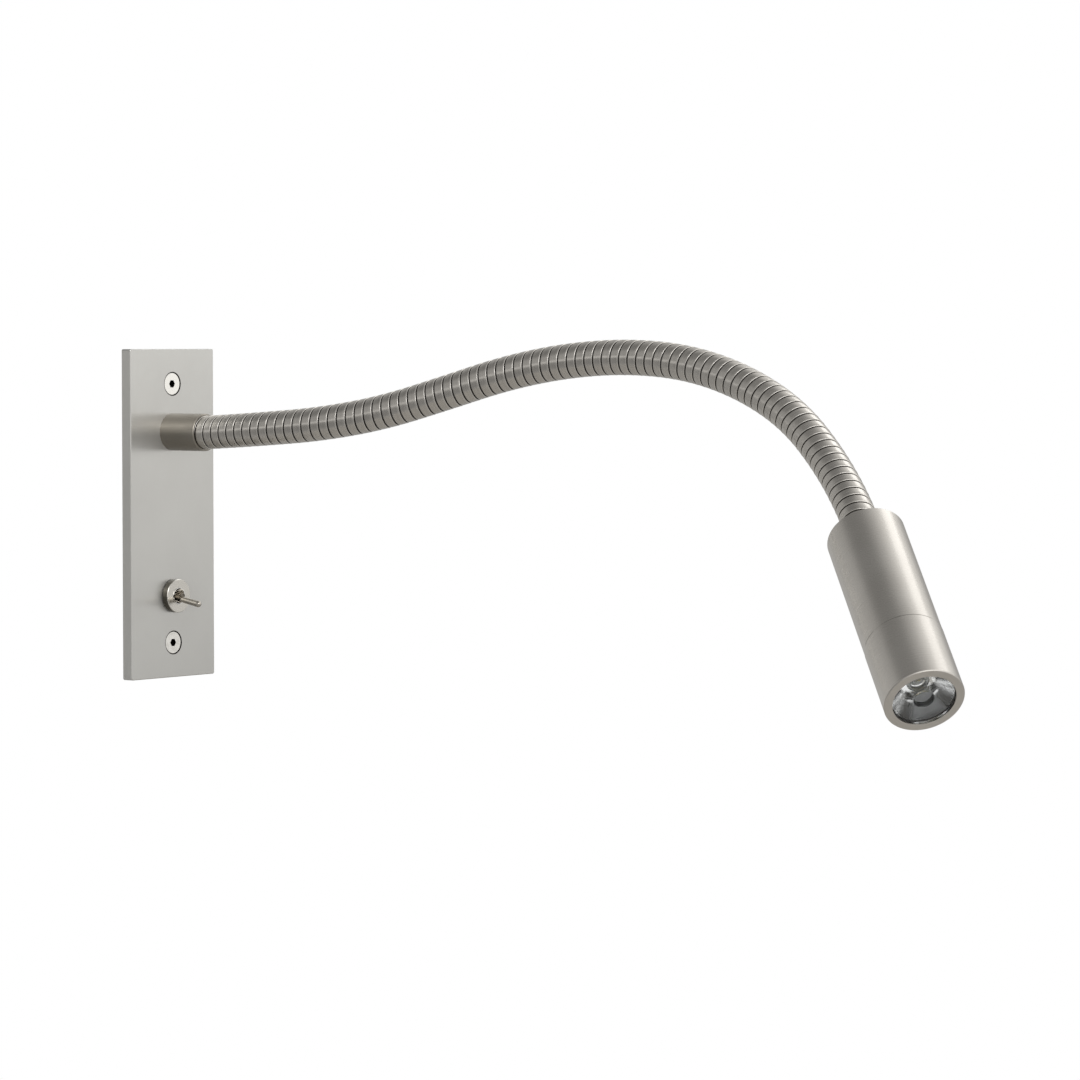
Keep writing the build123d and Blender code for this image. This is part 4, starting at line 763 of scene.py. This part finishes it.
def in_head(distance, below=0.0):
    """A point so many millimetres past the head's rear, and below its axis."""
    return tuple(head_rear + head_axis * distance * MM + head_down * below * MM)


# From the nipple down to the wire hole in the heat sink, and through it to the LED board
WIRE_HOLE_OFFSET = 6.5
on_axis = [in_head(distance) for distance in (0, 11, 22)]
in_wire_hole = [in_head(distance, WIRE_HOLE_OFFSET) for distance in (41.5, 55, 68.8)]
tail = lead_curve("lead_in_head", on_axis + in_wire_hole, chain[-1])
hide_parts("lamp_lead")

# ---------------------------------------------------------------- materials of the CAD nodes

nut_metal = turned_nut()
turned_nickel = head_metal()
node_materials = {
    "wall_plate": brushed_plate(),
    "fixing_screws": socket_screw(),
    "neck_collar": collar_metal,
    "root_nipple": zinc,
    "nipple_lock_washer": zinc,
    "nipple_nut": zinc,
    "lead_grommet": black_rubber,
    "earth_tag": brass,
    "earth_screw": brass,
    "switch_washer": nut_metal,
    "switch_dress_nut": nut_metal,
    "switch_bush": chrome,
    "switch_lock_nut": chrome,
    "switch_case": blue_plastic,
    "switch_terminals": silver,
    "toggle_lever": lever_metal,
    "toggle_pivot_pin": chrome,
    "toggle_plunger": pale_plastic,
    "toggle_spring": zinc,
    "switch_rocker": silver,
    "driver_case": white_plastic,
    "driver_lid": white_plastic,
    "driver_screws": zinc,
    "driver_board": board_green(),
    "driver_transformer": wound_tape(),
    "driver_capacitor": can_sleeve,
    "mains_terminal": green_plastic,
    "switch_lead": black_plastic,
    "head_body": turned_nickel,
    "head_bezel": turned_nickel,
    "head_nipple": zinc,
    "head_nut": zinc,
    "heat_sink": sink_metal,
    "thermal_pad": grey_pad,
    "led_board": mask_white,
    "led_emitter": phosphor(),
    "board_screws": zinc,
    "lens_holder": holder_grey,
    "lens": clear_lens(),
    "lens_seal": black_rubber,
}
# The nodes that the pieces above replace keep the hose's metal
for name, obj in nodes.items():
    obj.data.materials.clear()
    obj.data.materials.append(node_materials.get(name, hose_metal))

# ---------------------------------------------------------------- stage and light


def stage_quad(name, corners, material):
    mesh = bpy.data.meshes.new(name)
    mesh.from_pydata(corners, [], [(0, 1, 2, 3)])
    mesh.materials.append(material)
    obj = bpy.data.objects.new(name, mesh)
    bpy.context.scene.collection.objects.link(obj)


def pale_floor():
    """A pale floor that catches the shadow, and is white to the camera."""
    material = bpy.data.materials.new("pale_floor")
    material.use_nodes = True
    tree = material.node_tree
    bsdf = next(n for n in tree.nodes if n.type == "BSDF_PRINCIPLED")
    output = next(n for n in tree.nodes if n.type == "OUTPUT_MATERIAL")
    bsdf.inputs["Base Color"].default_value = (0.56, 0.545, 0.52, 1)
    bsdf.inputs["Roughness"].default_value = 0.8
    glow = tree.nodes.new("ShaderNodeEmission")
    path = tree.nodes.new("ShaderNodeLightPath")
    mix = tree.nodes.new("ShaderNodeMixShader")
    tree.links.new(path.outputs["Is Camera Ray"], mix.inputs["Fac"])
    tree.links.new(bsdf.outputs["BSDF"], mix.inputs[1])
    tree.links.new(glow.outputs["Emission"], mix.inputs[2])
    tree.links.new(mix.outputs["Shader"], output.inputs["Surface"])
    return material


def wall_white():
    """White to the camera from the room's side; clear from behind and to any other ray."""
    material = bpy.data.materials.new("wall_white")
    material.use_nodes = True
    tree = material.node_tree
    tree.nodes.clear()
    output = tree.nodes.new("ShaderNodeOutputMaterial")
    glow = tree.nodes.new("ShaderNodeEmission")
    clear = tree.nodes.new("ShaderNodeBsdfTransparent")
    path = tree.nodes.new("ShaderNodeLightPath")
    geometry = tree.nodes.new("ShaderNodeNewGeometry")
    front = tree.nodes.new("ShaderNodeMath")
    front.operation = "SUBTRACT"
    front.inputs[0].default_value = 1.0
    both = tree.nodes.new("ShaderNodeMath")
    both.operation = "MULTIPLY"
    mix = tree.nodes.new("ShaderNodeMixShader")
    tree.links.new(geometry.outputs["Backfacing"], front.inputs[1])
    tree.links.new(path.outputs["Is Camera Ray"], both.inputs[0])
    tree.links.new(front.outputs["Value"], both.inputs[1])
    tree.links.new(both.outputs["Value"], mix.inputs["Fac"])
    tree.links.new(clear.outputs["BSDF"], mix.inputs[1])
    tree.links.new(glow.outputs["Emission"], mix.inputs[2])
    tree.links.new(mix.outputs["Shader"], output.inputs["Surface"])
    return material


FLOOR_Z, FLOOR_SIDE, FLOOR_FRONT, FLOOR_BACK = -0.55, 0.6, -0.75, 0.35
WALL_Y, WALL_SIDE, WALL_HEIGHT = 0.0001, 0.06, 0.09
stage_quad(
    "floor",
    [
        (-FLOOR_SIDE, FLOOR_FRONT, FLOOR_Z),
        (FLOOR_SIDE, FLOOR_FRONT, FLOOR_Z),
        (FLOOR_SIDE, FLOOR_BACK, FLOOR_Z),
        (-FLOOR_SIDE, FLOOR_BACK, FLOOR_Z),
    ],
    pale_floor(),
)
stage_quad(
    "wall",
    [
        (-WALL_SIDE, WALL_Y, -WALL_HEIGHT),
        (WALL_SIDE, WALL_Y, -WALL_HEIGHT),
        (WALL_SIDE, WALL_Y, WALL_HEIGHT),
        (-WALL_SIDE, WALL_Y, WALL_HEIGHT),
    ],
    wall_white(),
)


# Soft light and dark in the room: an amount, and the directions it lies in, each with the cosines
# where it starts and is full
UP_DIRECTION, DOWN_DIRECTION = (0.0, 0.0, 1.0), (0.0, 0.0, -1.0)
FRONT = ((0.05, -0.97, 0.20), 0.20, 0.80)
LEFT = ((-0.97, 0.22, 0.0), 0.60, 0.85)
ROOM_LEVEL, DARKEST = 0.44, 0.03
ROOM_COLOUR = (1.0, 0.993, 0.972, 1)
ROOM = [
    # the room in front of the plate, bright above the horizon and up to the ceiling
    (0.10, [FRONT]),
    (0.84, [FRONT, (UP_DIRECTION, -0.10, 0.03), (DOWN_DIRECTION, -0.90, -0.60)]),
    # the soft glow of the window on the right
    (0.60, [((0.70, -0.05, 0.71), 0.78, 0.99)]),
    # dim corner on the camera's left, with a bright strip over it
    (-0.16, [((-0.93, 0.25, -0.28), 0.84, 0.97)]),
    (0.44, [(UP_DIRECTION, -0.04, 0.02), (DOWN_DIRECTION, -0.17, -0.12), LEFT]),
    # dim ceiling over the head, and the far wall behind it
    (-0.20, [((-0.25, 0.45, 0.86), 0.82, 0.98)]),
    (0.14, [((0.30, 0.95, 0.10), 0.75, 0.98)]),
]


def studio_world():
    """White behind the object, and a soft room with a bright window in its reflections."""
    world = bpy.data.worlds.new("studio")
    bpy.context.scene.world = world
    world.use_nodes = True
    tree = world.node_tree
    tree.nodes.clear()
    output = tree.nodes.new("ShaderNodeOutputWorld")
    coordinates = tree.nodes.new("ShaderNodeTexCoord").outputs["Generated"]

    def math_node(operation, a, b):
        node = tree.nodes.new("ShaderNodeMath")
        node.operation = operation
        for socket, value in zip(node.inputs, (a, b)):
            if isinstance(value, (int, float)):
                socket.default_value = value
            else:
                tree.links.new(value, socket)
        return node.outputs["Value"]

    level = ROOM_LEVEL
    for amount, regions in ROOM:
        share = amount
        for direction, start, end in regions:
            dot = tree.nodes.new("ShaderNodeVectorMath")
            dot.operation = "DOT_PRODUCT"
            tree.links.new(coordinates, dot.inputs[0])
            dot.inputs[1].default_value = Vector(direction).normalized()
            spread = tree.nodes.new("ShaderNodeMapRange")
            spread.interpolation_type = "SMOOTHSTEP"
            spread.inputs["From Min"].default_value = start
            spread.inputs["From Max"].default_value = end
            tree.links.new(dot.outputs["Value"], spread.inputs["Value"])
            share = math_node("MULTIPLY", spread.outputs["Result"], share)
        level = math_node("ADD", share, level)
    level = math_node("MAXIMUM", level, DARKEST)
    room = tree.nodes.new("ShaderNodeBackground")
    room.inputs["Color"].default_value = ROOM_COLOUR
    tree.links.new(level, room.inputs["Strength"])
    white = tree.nodes.new("ShaderNodeBackground")
    white.inputs["Color"].default_value = (1, 1, 1, 1)
    white.inputs["Strength"].default_value = 1.0
    path = tree.nodes.new("ShaderNodeLightPath")
    seen = math_node("MAXIMUM", path.outputs["Is Camera Ray"], path.outputs["Is Transmission Ray"])
    mix = tree.nodes.new("ShaderNodeMixShader")
    tree.links.new(seen, mix.inputs["Fac"])
    tree.links.new(room.outputs["Background"], mix.inputs[1])
    tree.links.new(white.outputs["Background"], mix.inputs[2])
    tree.links.new(mix.outputs["Shader"], output.inputs["Surface"])


studio_world()


def area_lamp(name, place, aim, size, power):
    """A soft rectangular lamp, in metres and watts."""
    data = bpy.data.lights.new(name, "AREA")
    data.shape = "RECTANGLE"
    data.size, data.size_y = size
    data.energy = power
    lamp = bpy.data.objects.new(name, data)
    lamp.location = place
    lamp.rotation_mode = "QUATERNION"
    lamp.rotation_quaternion = (Vector(aim) - Vector(place)).to_track_quat("-Z", "Y")
    bpy.context.scene.collection.objects.link(lamp)


area_lamp("window", (1.02, -0.29, 0.98), (0, -0.22, 0.0), (0.52, 0.52), 1.15)
area_lamp("front", (-0.67, -1.42, 0.78), (0, -0.20, 0.0), (1.30, 0.60), 4.9)

scene = bpy.context.scene
scene.view_settings.view_transform = "Standard"
